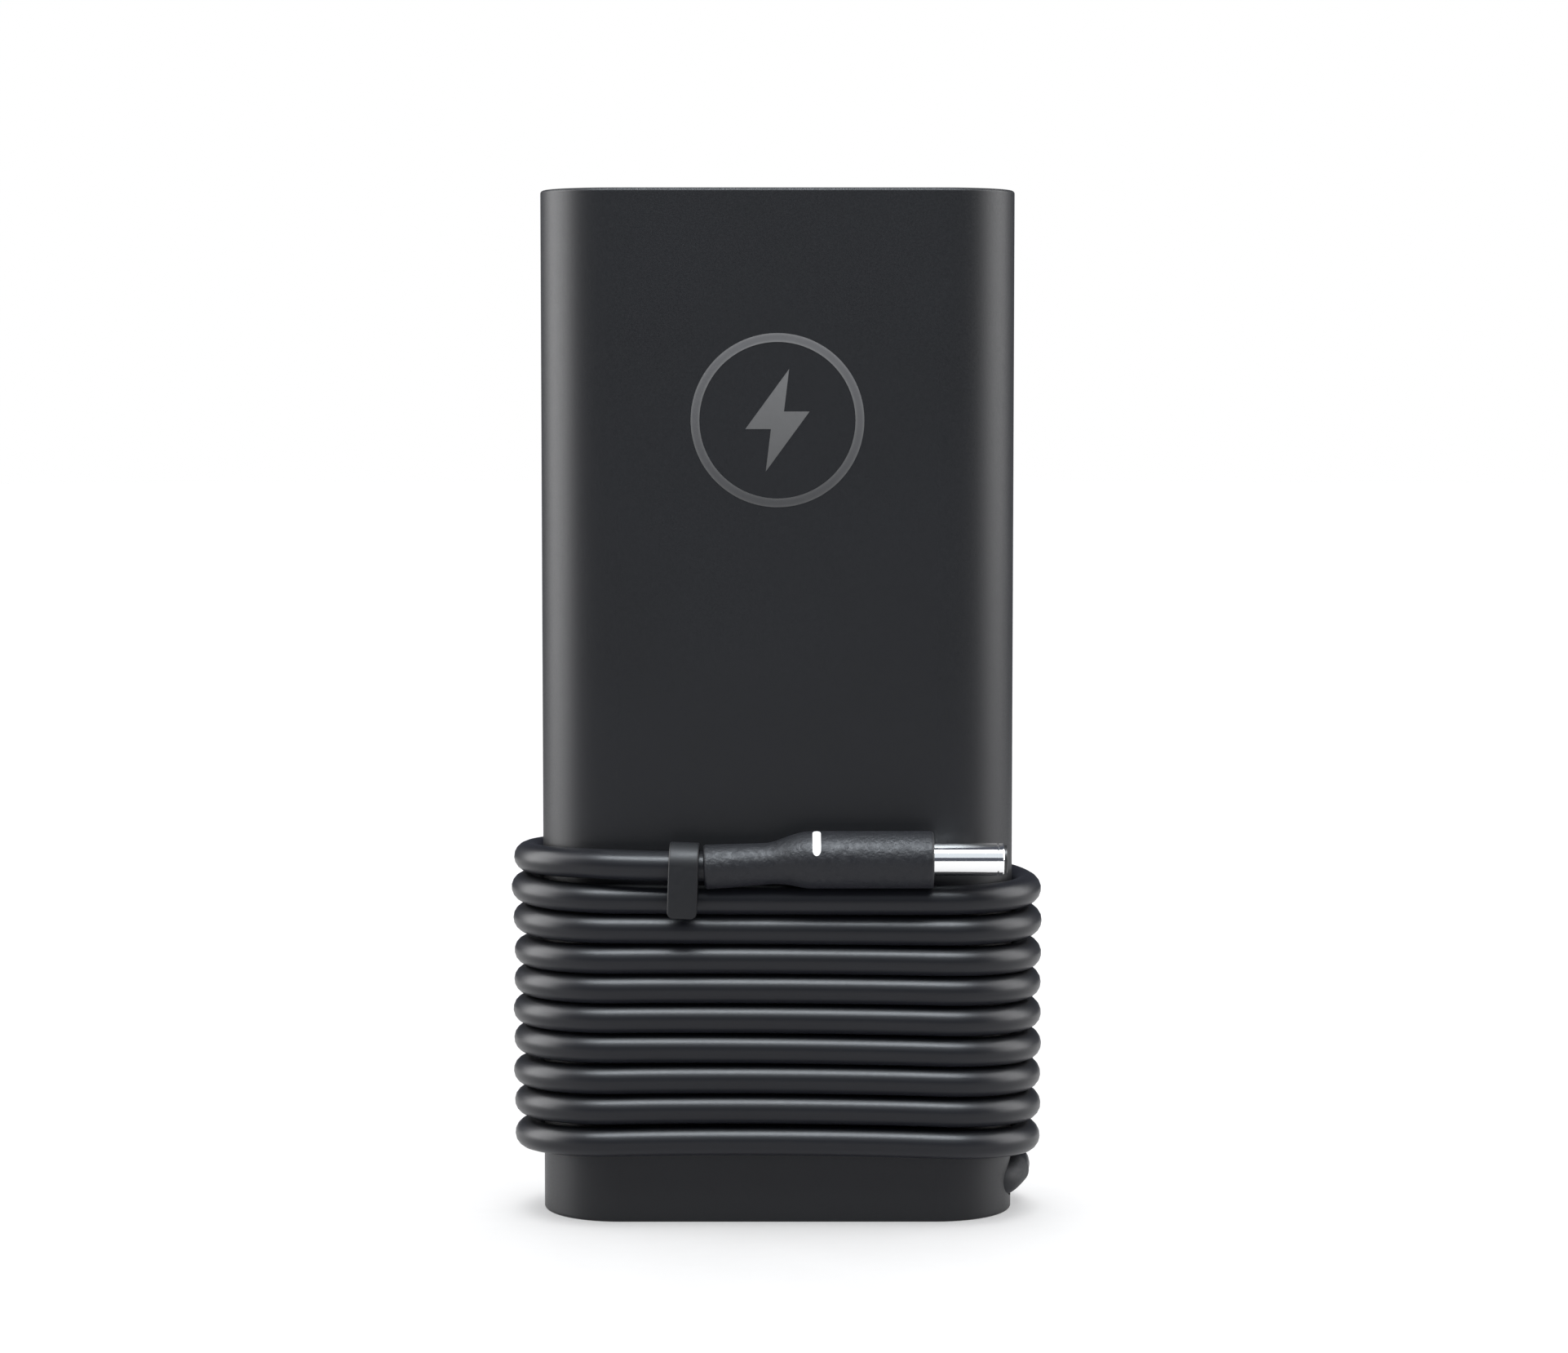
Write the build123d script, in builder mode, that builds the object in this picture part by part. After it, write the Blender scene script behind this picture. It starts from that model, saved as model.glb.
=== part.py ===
from build123d import *
import math
import os

# Slim laptop power adapter, standing on its plain end.
# Frame: +Z up, front face towards -Y, origin at the middle of the bottom end.
# All sizes in millimetres.

# ---- driving dimensions: housing ----
HEIGHT = 143.0
WIDTH = 66.0
DEPTH = 22.0
WALL = 2.0
EDGE_ROUND = 0.45
SIDE_R = DEPTH / 2
SEAM_WIDTH = 0.12
SEAM_DEPTH = 0.3
TONGUE_INSET = 0.65
TONGUE_WALL = 0.7
TONGUE_HEIGHT = 0.8
FIT_GAP = 0.05
EXIT_BLOCK_WIDTH = 10.0
EXIT_BLOCK_TALL = 6.5
RIB_WIDTH = 2.4
RIB_TALL = 1.6
RIB_GAP = 1.4

# ---- emblem and label ----
EMBLEM_Z = 111.3
EMBLEM_R = 11.9
EMBLEM_LINE = 1.2
EMBLEM_RECESS = 0.3
EMBLEM_PROUD = 0.04
BOLT = [(1.6, 7.0), (-4.4, -1.2), (-0.9, -1.2), (-1.6, -7.0), (4.4, 1.2), (0.9, 1.2)]
LABEL_WIDTH = 38.0
LABEL_HEIGHT = 62.0
LABEL_Z = 96.0
LABEL_THICK = 0.15
LABEL_CORNER = 2.0
LABEL_PLAY = 0.1

# ---- mains inlet, three round pins ----
INLET_WIDTH = 23.0
INLET_DEPTH = 17.0
INLET_LENGTH = 22.0
INLET_CAVITY = 13.0
INLET_LOBE_R = 3.8
PIN_R = 1.6
PIN_SPREAD = 5.0
PIN_POWER_Y = -2.1
PIN_EARTH_Y = 3.3
PIN_FREE = 9.5
PIN_TAIL = 3.0
FLANGE_OVER = 2.0
FLANGE_THICK = 2.0
INLET_CORNER = 1.2
PIN_ROUND = 0.88
PIN_TAIL_WIDTH = 2.4
PIN_TAIL_THICK = 0.8
INLET_WIRE_R = 0.8
INLET_WIRE_Z = 113.0
INLET_WIRE_BEND = 0.9

# ---- circuit board ----
BOARD_FRONT_Y = 4.2
BOARD_THICK = 1.6
BOARD_LOW = 11.0
BOARD_HIGH = 117.0
BOARD_WIDTH = 56.0
BOARD_CORNER = 1.5
SAFETY_SLOT = (-19.0, 46.0, 12.0, 1.2)
BOARD_HOLES = [(-25.0, 20.0), (25.0, 104.0)]
BOARD_HOLE_R = 1.3

# ---- parts on the board ----
# Box parts: x and z of the middle, width, length along Z, height above the board.
FUSE = (-21.5, 110.0, 8.4, 4.1, 7.7)
X_CAPACITOR = (17.0, 107.5, 17.5, 8.5, 11.0)
FILM_CAPACITOR = (17.5, 54.5, 10.0, 5.0, 9.0)
BRIDGE = (-19.5, 90.0, 14.0, 3.4, 10.5)
BRIDGE_LEG_PITCH = 3.6
BRIDGE_LEG = (0.9, 0.6)
OPTOCOUPLER = (-20.0, 46.0, 4.6, 6.5, 3.8)
OPTO_LEG_PITCH = 2.54
OPTO_ROW_PITCH = 8.4
OPTO_LEG = (0.8, 1.9)
# Discs lying flat: name, z, radius, thickness.
DISCS = (("surge_disc", 104.5, 5.2, 4.0), ("inrush_disc", 98.0, 4.6, 4.4))
DISC_X = -21.0
DISC_GAP = 0.6
DISC_LEG_SPREAD = 2.5
DISC_LEG_R = 0.35
Y_CAP_XS = (-6.0, 1.5)
Y_CAP_LOW = 92.0
Y_CAP_R = 3.4
Y_CAP_THICK = 2.6
Y_CAP_GAP = 0.8
Y_CAP_LEG_SPREAD = 2.0
Y_CAP_LEG_R = 0.3
# Mains filter choke: ring core on a base, two windings.
CHOKE_X = -2.0
CHOKE_Z = 104.0
CHOKE_LIFT = 3.0
CHOKE_CORE_R = 6.6
CHOKE_HOLE_R = 3.6
CHOKE_WIDTH = 5.0
CHOKE_WIRE = 1.2
CHOKE_WIRE_END = 1.1
CHOKE_SIDE_X = 5.2
CHOKE_SIDE_SIZE = (8.0, 9.6)
CHOKE_BASE = 15.0
CHOKE_BASE_THICK = 1.2
# Boost choke: open block core with a round post.
BOOST_X = -10.0
BOOST_Z = 76.0
BOOST_SIZE = (21.0, 20.0)
BOOST_LOW = 0.3
BOOST_TALL = 11.4
BOOST_WINDOW_LOW = 2.6
BOOST_WINDOW_TALL = 6.8
BOOST_WINDOW_WIDTH = 16.6
BOOST_POST_R = 4.4
BOOST_WIRE_R = 8.2
# Bulk capacitor, lying in a notch of the board.
BULK_X = 16.0
BULK_Y = -0.3
BULK_Z = 78.0
BULK_R = 7.4
BULK_LENGTH = 31.0
BULK_GROOVE_Z = 3.0
BULK_GROOVE_WIDTH = 1.0
BULK_GROOVE_DEPTH = 0.5
NOTCH_PLAY = 0.5
CAN_ROUND = 0.8
# Heat sinks with power transistors on them.
SINK_X = 25.4
SINK_THICK = 1.3
SINK_TALL = 9.5
PRIMARY_SINK = (72.0, 26.0)
SECONDARY_SINK = (34.0, 30.0)
SWITCH_ZS = (66.0, 79.0)
RECTIFIER_ZS = (27.0, 41.0)
CHIP_CASE = (1.9, 9.6, 7.6)
CHIP_LIFT = 1.5
CHIP_LEG = (0.6, 0.9)
CHIP_LEG_PITCH = 2.5
# Transformer: block core, bobbin, winding and tape.
CORE_X = -1.0
CORE_Z = 46.0
CORE_WIDTH = 26.0
CORE_LENGTH = 24.0
CORE_LOW = 0.4
CORE_TALL = 11.3
CORE_SIDE = 2.5
WINDOW_LOW = 2.8
WINDOW_TALL = 6.5
POST_R = 4.6
BOBBIN_R = 10.2
BOBBIN_WALL = 0.7
BOBBIN_FLANGE = 0.6
COIL_R = 9.4
TAPE_THICK = 0.2
# Output side.
OUT_CAN_XS = (-17.0, -7.0, 3.0)
OUT_CAN_Z = 25.0
OUT_CAN_R = 4.0
OUT_CAN_TALL = 11.2
OUT_CHOKE_X = 14.0
OUT_CHOKE_Z = 24.5
OUT_CHOKE_R = 4.9
OUT_CHOKE_HOLE_R = 2.7
OUT_CHOKE_LIFT = 1.6
OUT_CHOKE_WIDTH = 4.2
OUT_WIRE = 0.9
OUT_WIRE_GAP = 3.0
OUT_WIRE_GAP_Y = 5.0
# Chips on the back of the board: x and z of each, body, legs.
BACK_CHIPS = ((-15.0, 62.0), (10.0, 33.0))
BACK_CHIP_SIZE = (6.0, 4.0)
BACK_CHIP_TALL = 1.3
BACK_CHIP_LIFT = 0.1
BACK_LEG = (0.45, 1.2)
BACK_LEG_PITCH = 1.27
BACK_LEG_ROWS = 5.2
BACK_LEG_THICK = 0.3
SMALL_ROUND = 0.5

# ---- heat spreaders and films ----
SPREADER_Y = 8.85
SPREADER_WIDTH = 42.0
SPREADER_THICK = 0.5
FILM_THICK = 0.2
SHEET_LOW = 12.0
SHEET_HIGH = 118.0
SHEET_CORNER = 2.0
PAD_INSET_X = 2.0
PAD_INSET_Z = 1.0
PAD_CORNER = 1.0

# ---- output wires: x where each meets the board, offset from the cord's middle in y and z ----
OUTPUT_WIRES = ((8.0, -1.1, 0.0), (11.5, 0.5, -0.9), (15.0, 0.5, 0.9))
OUTPUT_WIRE_R = 0.65
OUTPUT_WIRE_BEND = 1.2
OUTPUT_RISE = (0.4, 12.6)
OUTPUT_BOARD_Z = 13.4

# ---- cord, winding ----
CORD_R = 2.05
WIND_LOW = 8.4
WIND_HIGH = 47.4
WIND_ROUND = 2.6
BACK_LOW_RIGHT = 8.6
BACK_LOW_LEFT = 13.2
BACK_HIGH_RIGHT = 43.0
BACK_HIGH_LEFT = 47.4

# ---- cord exit ----
RELIEF_R = 2.45
POCKET_R = 2.95
RELIEF_BEND = 5.2
POCKET_BEND = 7.0
RELIEF_ROUTE = [(22.5, -3.1, 4.35), (31.5, -3.1, 4.35), (32.71, 0.92, 4.85)]
POCKET_ROUTE = [(27.0, -3.1, 4.35), (31.5, -3.1, 4.35), (33.62, 3.99, 5.2), (33.3, 12.0, 6.2)]

# Exit lead: out of the strain relief, round the back, to the first turn on the left side.
LEAD_ROUTE = [
    (32.71, 0.92, 4.85), (33.63, 3.96, 5.23), (32.87, 8.22, 5.7), (30.3, 11.67, 6.2),
    (26.4, 13.5, 6.7), (18.6, 13.3, 7.2), (6.5, 13.2, 8.1), (-7.5, 13.15, 8.6),
    (-18.5, 13.3, 9.5), (-25.5, 13.1, 9.9), (-31.55, 9.55, 10.3), (-35.05, 3.5, 10.7),
    (-35.05, 0.0, 10.7),
]

# Cord tail: off the last turn on the right side, round the back and the left side,
# along the front and through the strap to the plug.
TAIL_ROUTE = [
    (35.05, 0.0, 45.5), (35.05, 3.5, 45.5), (31.55, 9.55, 46.1), (25.5, 13.1, 46.6),
    (18.4, 13.3, 47.0), (6.5, 13.15, 47.9), (-7.5, 13.25, 48.4), (-18.5, 13.2, 49.3),
    (-25.5, 13.1, 49.6), (-31.55, 9.55, 50.0), (-35.05, 3.5, 50.3), (-35.05, -3.5, 50.5),
    (-31.55, -9.55, 50.8), (-25.6, -13.15, 51.0), (-21.2, -14.3, 50.9),
    (-15.2, -14.9, 50.58), (-9.6, -15.0, 50.38),
]

# ---- plug ----
PLUG_Y = -14.88
PLUG_Z = 51.3
PLUG_R = 3.83
NECK_REAR_R = 3.05
NECK_FRONT_R = 2.85
NECK_END_X = -0.4
NECK_END_Z = 51.1
NECK_SLOPE = 0.055
NECK_ROUND = 0.5
BODY_ROUND = 0.45
BODY_START_X = 5.0
BODY_END_X = 21.4
BARREL_R = 2.25
BARREL_WALL = 0.3
BARREL_END_X = 31.0
BARREL_ROOT = 5.0
BARREL_ROOT_R = 2.5
BARREL_LEAD = 0.12
BARREL_GROOVE = 0.9
BARREL_GROOVE_WIDTH = 0.2
BARREL_GROOVE_DEPTH = 0.2
INSULATOR_PROUD = 0.5
INSULATOR_ROUND = 0.18
SLEEVE_R = 1.5
SLEEVE_WALL = 0.2
SLEEVE_SHORT = 0.4
HOLDER_LENGTH = 3.0
CENTRE_R = 0.3
CENTRE_SHORT = 1.5
CENTRE_ROUND = 0.2
PLUG_BOARD = (10.5, 9.0, 3.6, 0.8)
LED_SIZE = (1.8, 1.2)
LED_BASE_R = 1.6
LED_TALL = 1.0
LIGHT_X = 5.35
LIGHT_WIDTH = 1.35
LIGHT_LOW = 14
LIGHT_HIGH = 80
LIGHT_INNER_R = 2.9
LIGHT_PROUD = 0.03

# ---- strap ----
STRAP_X = -12.8
STRAP_WIDTH = 4.4
STRAP_RING_R = 3.15
STRAP_HOLE_R = CORD_R + 0.15
STRAP_TAIL = 7.3
STRAP_THICK = 1.9
STRAP_ROUND = 0.9


def save(part, name):
    part.label = name
    export_step(part, f"parts/{name}.step")


def corner_radii(route):
    """Radius at each corner: 0.45 of the shorter run over the tangent of half the turn."""
    points = [Vector(*p) for p in route]
    radii = []
    for before, here, after in zip(points, points[1:], points[2:]):
        run_in = here - before
        run_out = after - here
        half_turn = math.radians(run_in.get_angle(run_out)) / 2
        radii.append(0.45 * min(run_in.length, run_out.length) / math.tan(half_turn))
    return radii


def tube_plane(route):
    start = Vector(*route[0])
    return Plane(origin=start, z_dir=Vector(*route[1]) - start)


def print_tube(name, part, route, length):
    section = math.pi * CORD_R ** 2
    print(f"{name}: path {length:.1f}, volume over section {part.volume / section:.1f}")
    print(f"{name}: radii", " ".join(f"{r:.1f}" for r in corner_radii(route)))


os.makedirs("parts", exist_ok=True)

# ---------------------------------------------------------------- housing
# Both halves start from the same closed tube with its cut-outs, and are split at y = 0.
with BuildPart() as housing:
    with BuildSketch(Plane.XY):
        SlotOverall(WIDTH, DEPTH)
    extrude(amount=HEIGHT)
    fillet(housing.edges().group_by(Axis.Z)[0], EDGE_ROUND)
    fillet(housing.edges().group_by(Axis.Z)[-1], EDGE_ROUND)
    with BuildSketch(Plane.XY.offset(WALL)):
        SlotOverall(WIDTH - 2 * WALL, DEPTH - 2 * WALL)
    extrude(amount=HEIGHT - 2 * WALL, mode=Mode.SUBTRACT)
    # solid block round the cord exit, low on the right
    with BuildSketch(Plane.XY.offset(WALL)):
        SlotOverall(WIDTH - 2 * WALL, DEPTH - 2 * WALL)
        with Locations((WIDTH / 2 - EXIT_BLOCK_WIDTH / 2, 0)):
            Rectangle(EXIT_BLOCK_WIDTH, DEPTH, mode=Mode.INTERSECT)
    extrude(amount=EXIT_BLOCK_TALL)
    # inlet opening in the top end
    with BuildSketch(Plane.XY.offset(HEIGHT - WALL)):
        RectangleRounded(INLET_WIDTH + 2 * FIT_GAP, INLET_DEPTH + 2 * FIT_GAP, INLET_CORNER)
    extrude(amount=WALL, mode=Mode.SUBTRACT)
    # ribs that hold the inlet flange against the top end
    with BuildSketch(Plane.XY.offset(HEIGHT - WALL - FLANGE_THICK - FIT_GAP)):
        for side in (-1, 1):
            with Locations((side * (INLET_WIDTH / 2 + RIB_GAP + RIB_WIDTH / 2), 0)):
                Rectangle(RIB_WIDTH, DEPTH - 2 * WALL)
    extrude(amount=-RIB_TALL)

with BuildPart() as exit_pocket:
    with BuildLine():
        FilletPolyline(*POCKET_ROUTE, radius=[RELIEF_BEND, POCKET_BEND])
    with BuildSketch(tube_plane(POCKET_ROUTE)):
        Circle(POCKET_R)
    sweep()

with BuildPart() as relief_bore:
    with BuildLine():
        FilletPolyline(*RELIEF_ROUTE, radius=RELIEF_BEND)
    with BuildSketch(tube_plane(RELIEF_ROUTE)):
        Circle(RELIEF_R + FIT_GAP)
    sweep()

with BuildPart() as front_cover:
    add(housing.part)
    split(bisect_by=Plane.XZ, keep=Keep.TOP)
    # tongue along the seam
    with BuildSketch(Plane.XZ):
        with Locations((0, HEIGHT / 2)):
            Rectangle(WIDTH - 2 * TONGUE_INSET, HEIGHT - 2 * TONGUE_INSET)
            Rectangle(WIDTH - 2 * TONGUE_INSET - 2 * TONGUE_WALL,
                      HEIGHT - 2 * TONGUE_INSET - 2 * TONGUE_WALL, mode=Mode.SUBTRACT)
            with Locations((0, HEIGHT / 2 - WALL / 2)):
                Rectangle(INLET_WIDTH + 2, WALL + 1, mode=Mode.SUBTRACT)
    extrude(amount=-TONGUE_HEIGHT)
    add(exit_pocket.part, mode=Mode.SUBTRACT)
    add(relief_bore.part, mode=Mode.SUBTRACT)
    # recess for the ring emblem and the bolt sign in it
    with BuildSketch(Plane.XZ.offset(SIDE_R - EMBLEM_RECESS)):
        with Locations((0, EMBLEM_Z)):
            Circle(EMBLEM_R)
            Circle(EMBLEM_R - EMBLEM_LINE, mode=Mode.SUBTRACT)
            Polygon(*BOLT, align=None)
    extrude(amount=EMBLEM_RECESS, mode=Mode.SUBTRACT)
save(front_cover.part, "front_cover")

with BuildPart() as back_cover:
    add(housing.part)
    split(bisect_by=Plane.XZ, keep=Keep.BOTTOM)
    # groove for the tongue
    with BuildSketch(Plane.XZ):
        with Locations((0, HEIGHT / 2)):
            Rectangle(WIDTH - 2 * TONGUE_INSET + 2 * FIT_GAP, HEIGHT - 2 * TONGUE_INSET + 2 * FIT_GAP)
            Rectangle(WIDTH - 2 * TONGUE_INSET - 2 * TONGUE_WALL - 2 * FIT_GAP,
                      HEIGHT - 2 * TONGUE_INSET - 2 * TONGUE_WALL - 2 * FIT_GAP, mode=Mode.SUBTRACT)
    extrude(amount=-TONGUE_HEIGHT - FIT_GAP, mode=Mode.SUBTRACT)
    # shadow line round the outside of the seam
    with BuildSketch(Plane.XZ):
        with Locations((0, HEIGHT / 2)):
            Rectangle(WIDTH + 4, HEIGHT + 4)
            Rectangle(WIDTH - 2 * SEAM_DEPTH, HEIGHT - 2 * SEAM_DEPTH, mode=Mode.SUBTRACT)
    extrude(amount=-SEAM_WIDTH, mode=Mode.SUBTRACT)
    add(exit_pocket.part, mode=Mode.SUBTRACT)
    add(relief_bore.part, mode=Mode.SUBTRACT)
    # shallow recess for the blank label
    with BuildSketch(Plane.XZ.offset(-SIDE_R + LABEL_THICK)):
        with Locations((0, LABEL_Z)):
            RectangleRounded(LABEL_WIDTH, LABEL_HEIGHT, LABEL_CORNER)
    extrude(amount=-LABEL_THICK, mode=Mode.SUBTRACT)
save(back_cover.part, "back_cover")

with BuildPart() as front_emblem:
    with BuildSketch(Plane.XZ.offset(SIDE_R - EMBLEM_RECESS)):
        with Locations((0, EMBLEM_Z)):
            Circle(EMBLEM_R)
            Circle(EMBLEM_R - EMBLEM_LINE, mode=Mode.SUBTRACT)
            Polygon(*BOLT, align=None)
    extrude(amount=EMBLEM_RECESS + EMBLEM_PROUD)
save(front_emblem.part, "front_emblem")

with BuildPart() as rating_label:
    with BuildSketch(Plane.XZ.offset(-SIDE_R + LABEL_THICK)):
        with Locations((0, LABEL_Z)):
            RectangleRounded(LABEL_WIDTH - 2 * LABEL_PLAY, LABEL_HEIGHT - 2 * LABEL_PLAY,
                             LABEL_CORNER - LABEL_PLAY)
    extrude(amount=-LABEL_THICK)
save(rating_label.part, "rating_label")

# ---------------------------------------------------------------- mains inlet
INLET_FLOOR = HEIGHT - INLET_CAVITY
PIN_SPOTS = {
    "line": (-PIN_SPREAD, PIN_POWER_Y),
    "neutral": (PIN_SPREAD, PIN_POWER_Y),
    "earth": (0, PIN_EARTH_Y),
}

with BuildPart() as ac_inlet_body:
    with BuildSketch(Plane.XY.offset(HEIGHT)):
        RectangleRounded(INLET_WIDTH, INLET_DEPTH, INLET_CORNER)
    extrude(amount=-INLET_LENGTH)
    # flange behind the end wall
    with BuildSketch(Plane.XY.offset(HEIGHT - WALL)):
        Rectangle(INLET_WIDTH + 2 * FLANGE_OVER, INLET_DEPTH)
    extrude(amount=-FLANGE_THICK)
    # three-lobed cavity
    with BuildSketch(Plane.XY.offset(HEIGHT)):
        with Locations(*PIN_SPOTS.values()):
            Circle(INLET_LOBE_R)
        with Locations((0, (PIN_POWER_Y + PIN_EARTH_Y) / 2 - 1.2)):
            Rectangle(2 * PIN_SPREAD, PIN_EARTH_Y - PIN_POWER_Y + 0.4)
        with Locations((0, PIN_POWER_Y - INLET_LOBE_R / 2)):
            Rectangle(2 * PIN_SPREAD, INLET_LOBE_R)
    extrude(amount=-INLET_CAVITY, mode=Mode.SUBTRACT)
    with Locations(*[(x, y, INLET_FLOOR) for x, y in PIN_SPOTS.values()]):
        Hole(PIN_R)
save(ac_inlet_body.part, "ac_inlet_body")

for contact, (x, y) in PIN_SPOTS.items():
    with BuildPart() as inlet_pin:
        with BuildSketch(Plane.XY.offset(HEIGHT - INLET_LENGTH)):
            with Locations((x, y)):
                Circle(PIN_R)
        extrude(amount=INLET_LENGTH - INLET_CAVITY + PIN_FREE)
        fillet(inlet_pin.edges().sort_by(Axis.Z)[-1], PIN_ROUND)
        with BuildSketch(Plane.XY.offset(HEIGHT - INLET_LENGTH)):
            with Locations((x, y)):
                Rectangle(PIN_TAIL_WIDTH, PIN_TAIL_THICK)
        extrude(amount=-PIN_TAIL)
    save(inlet_pin.part, f"inlet_pin_{contact}")

with BuildPart() as inlet_wires:
    for x, y in PIN_SPOTS.values():
        top = (x, y, HEIGHT - INLET_LENGTH - PIN_TAIL)
        with BuildLine():
            FilletPolyline(top, (x, y, top[2] - 1.4), (x, 0.6, INLET_WIRE_Z + 1.0),
                           (x, BOARD_FRONT_Y, INLET_WIRE_Z), radius=INLET_WIRE_BEND)
        with BuildSketch(Plane(origin=top, z_dir=(0, 0, -1))):
            Circle(INLET_WIRE_R)
        sweep()
    # the wires stop flush with the board
    with BuildSketch(Plane.XZ.offset(-BOARD_FRONT_Y)):
        with Locations((0, INLET_WIRE_Z)):
            Rectangle(40, 20)
    extrude(amount=-4, mode=Mode.SUBTRACT)
save(inlet_wires.part, "inlet_wires")

# ---------------------------------------------------------------- circuit board
# Parts stand on the front side of the board.
def stand_on_board(height=0.0):
    return Plane.XZ.offset(-BOARD_FRONT_Y + height)


with BuildPart() as main_board:
    with BuildSketch(stand_on_board()):
        with Locations((0, (BOARD_LOW + BOARD_HIGH) / 2)):
            RectangleRounded(BOARD_WIDTH, BOARD_HIGH - BOARD_LOW, BOARD_CORNER)
        # notch that lets the bulk capacitor sit lower
        with Locations((BULK_X, BULK_Z)):
            Rectangle(2 * (BULK_R + NOTCH_PLAY), BULK_LENGTH + 4 * NOTCH_PLAY, mode=Mode.SUBTRACT)
        # slot between the mains side and the low-voltage side
        with Locations(SAFETY_SLOT[:2]):
            SlotOverall(*SAFETY_SLOT[2:], mode=Mode.SUBTRACT)
        with Locations(*BOARD_HOLES):
            Circle(BOARD_HOLE_R, mode=Mode.SUBTRACT)
    extrude(amount=-BOARD_THICK)
save(main_board.part, "main_board")

for box_name, (box_x, box_z, box_width, box_length, box_tall) in (
        ("fuse", FUSE), ("x_capacitor", X_CAPACITOR), ("film_capacitor", FILM_CAPACITOR)):
    with BuildPart() as box_part:
        with BuildSketch(stand_on_board()):
            with Locations((box_x, box_z)):
                RectangleRounded(box_width, box_length, SMALL_ROUND)
        extrude(amount=box_tall)
        fillet(box_part.edges().group_by(Axis.Y)[0], SMALL_ROUND - 0.1)
    save(box_part.part, box_name)

for disc_name, disc_z, disc_r, disc_thick in DISCS:
    with BuildPart() as disc:
        with BuildSketch(Plane.XY.offset(disc_z - disc_thick / 2)):
            with Locations((DISC_X, BOARD_FRONT_Y - DISC_GAP - disc_r)):
                Circle(disc_r)
        extrude(amount=disc_thick)
        fillet(disc.edges(), disc_thick * 0.3)
        with BuildSketch(stand_on_board()):
            with Locations((DISC_X - DISC_LEG_SPREAD, disc_z), (DISC_X + DISC_LEG_SPREAD, disc_z)):
                Circle(DISC_LEG_R)
        extrude(amount=4 * DISC_GAP)
    save(disc.part, disc_name)

with BuildPart() as filter_choke_core:
    with BuildSketch(stand_on_board(CHOKE_LIFT)):
        with Locations((CHOKE_X, CHOKE_Z)):
            Circle(CHOKE_CORE_R)
            Circle(CHOKE_HOLE_R, mode=Mode.SUBTRACT)
    extrude(amount=CHOKE_WIDTH)
save(filter_choke_core.part, "filter_choke_core")

# two windings, one on each side of the ring core
with BuildPart() as filter_choke_winding:
    for side in (-1, 1):
        with BuildSketch(stand_on_board(CHOKE_LIFT - CHOKE_WIRE_END)):
            with Locations((CHOKE_X, CHOKE_Z)):
                Circle(CHOKE_CORE_R + CHOKE_WIRE)
                Circle(CHOKE_HOLE_R - CHOKE_WIRE, mode=Mode.SUBTRACT)
            with Locations((CHOKE_X + side * CHOKE_SIDE_X, CHOKE_Z)):
                Rectangle(*CHOKE_SIDE_SIZE, mode=Mode.INTERSECT)
        extrude(amount=CHOKE_WIDTH + 2 * CHOKE_WIRE_END)
    add(filter_choke_core.part, mode=Mode.SUBTRACT)
save(filter_choke_winding.part, "filter_choke_winding")

with BuildPart() as filter_choke_base:
    with BuildSketch(stand_on_board()):
        with Locations((CHOKE_X, CHOKE_Z)):
            RectangleRounded(CHOKE_BASE, CHOKE_BASE, 2 * SMALL_ROUND)
    extrude(amount=CHOKE_BASE_THICK)
save(filter_choke_base.part, "filter_choke_base")

with BuildPart() as y_capacitors:
    for cap_x in Y_CAP_XS:
        with BuildSketch(Plane.XY.offset(Y_CAP_LOW)):
            with Locations((cap_x, BOARD_FRONT_Y - Y_CAP_GAP - Y_CAP_R)):
                Circle(Y_CAP_R)
        extrude(amount=Y_CAP_THICK)
    fillet(y_capacitors.edges(), CAN_ROUND)
    for cap_x in Y_CAP_XS:
        with BuildSketch(stand_on_board()):
            with Locations((cap_x, Y_CAP_LOW + Y_CAP_THICK / 2)):
                with GridLocations(2 * Y_CAP_LEG_SPREAD, 1, 2, 1):
                    Circle(Y_CAP_LEG_R)
        extrude(amount=Y_CAP_THICK)
save(y_capacitors.part, "y_capacitors")

with BuildPart() as bridge_rectifier:
    with BuildSketch(stand_on_board(SMALL_ROUND)):
        with Locations(BRIDGE[:2]):
            RectangleRounded(*BRIDGE[2:4], SMALL_ROUND - 0.1)
    extrude(amount=BRIDGE[4] - SMALL_ROUND)
    with BuildSketch(stand_on_board()):
        with Locations(BRIDGE[:2]):
            with GridLocations(BRIDGE_LEG_PITCH, 1, 4, 1):
                Rectangle(*BRIDGE_LEG)
    extrude(amount=SMALL_ROUND)
save(bridge_rectifier.part, "bridge_rectifier")

with BuildPart() as boost_choke_core:
    with BuildSketch(stand_on_board(BOOST_LOW)):
        with Locations((BOOST_X, BOOST_Z)):
            Rectangle(*BOOST_SIZE)
    extrude(amount=BOOST_TALL)
    # winding window round the middle post
    with BuildSketch(stand_on_board(BOOST_WINDOW_LOW)):
        with Locations((BOOST_X, BOOST_Z)):
            Rectangle(BOOST_WINDOW_WIDTH, BOOST_SIZE[1])
            Circle(BOOST_POST_R, mode=Mode.SUBTRACT)
    extrude(amount=BOOST_WINDOW_TALL, mode=Mode.SUBTRACT)
save(boost_choke_core.part, "boost_choke_core")

with BuildPart() as boost_choke_winding:
    with BuildSketch(stand_on_board(BOOST_WINDOW_LOW)):
        with Locations((BOOST_X, BOOST_Z)):
            Circle(BOOST_WIRE_R)
            Circle(BOOST_POST_R, mode=Mode.SUBTRACT)
    extrude(amount=BOOST_WINDOW_TALL)
save(boost_choke_winding.part, "boost_choke_winding")

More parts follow.
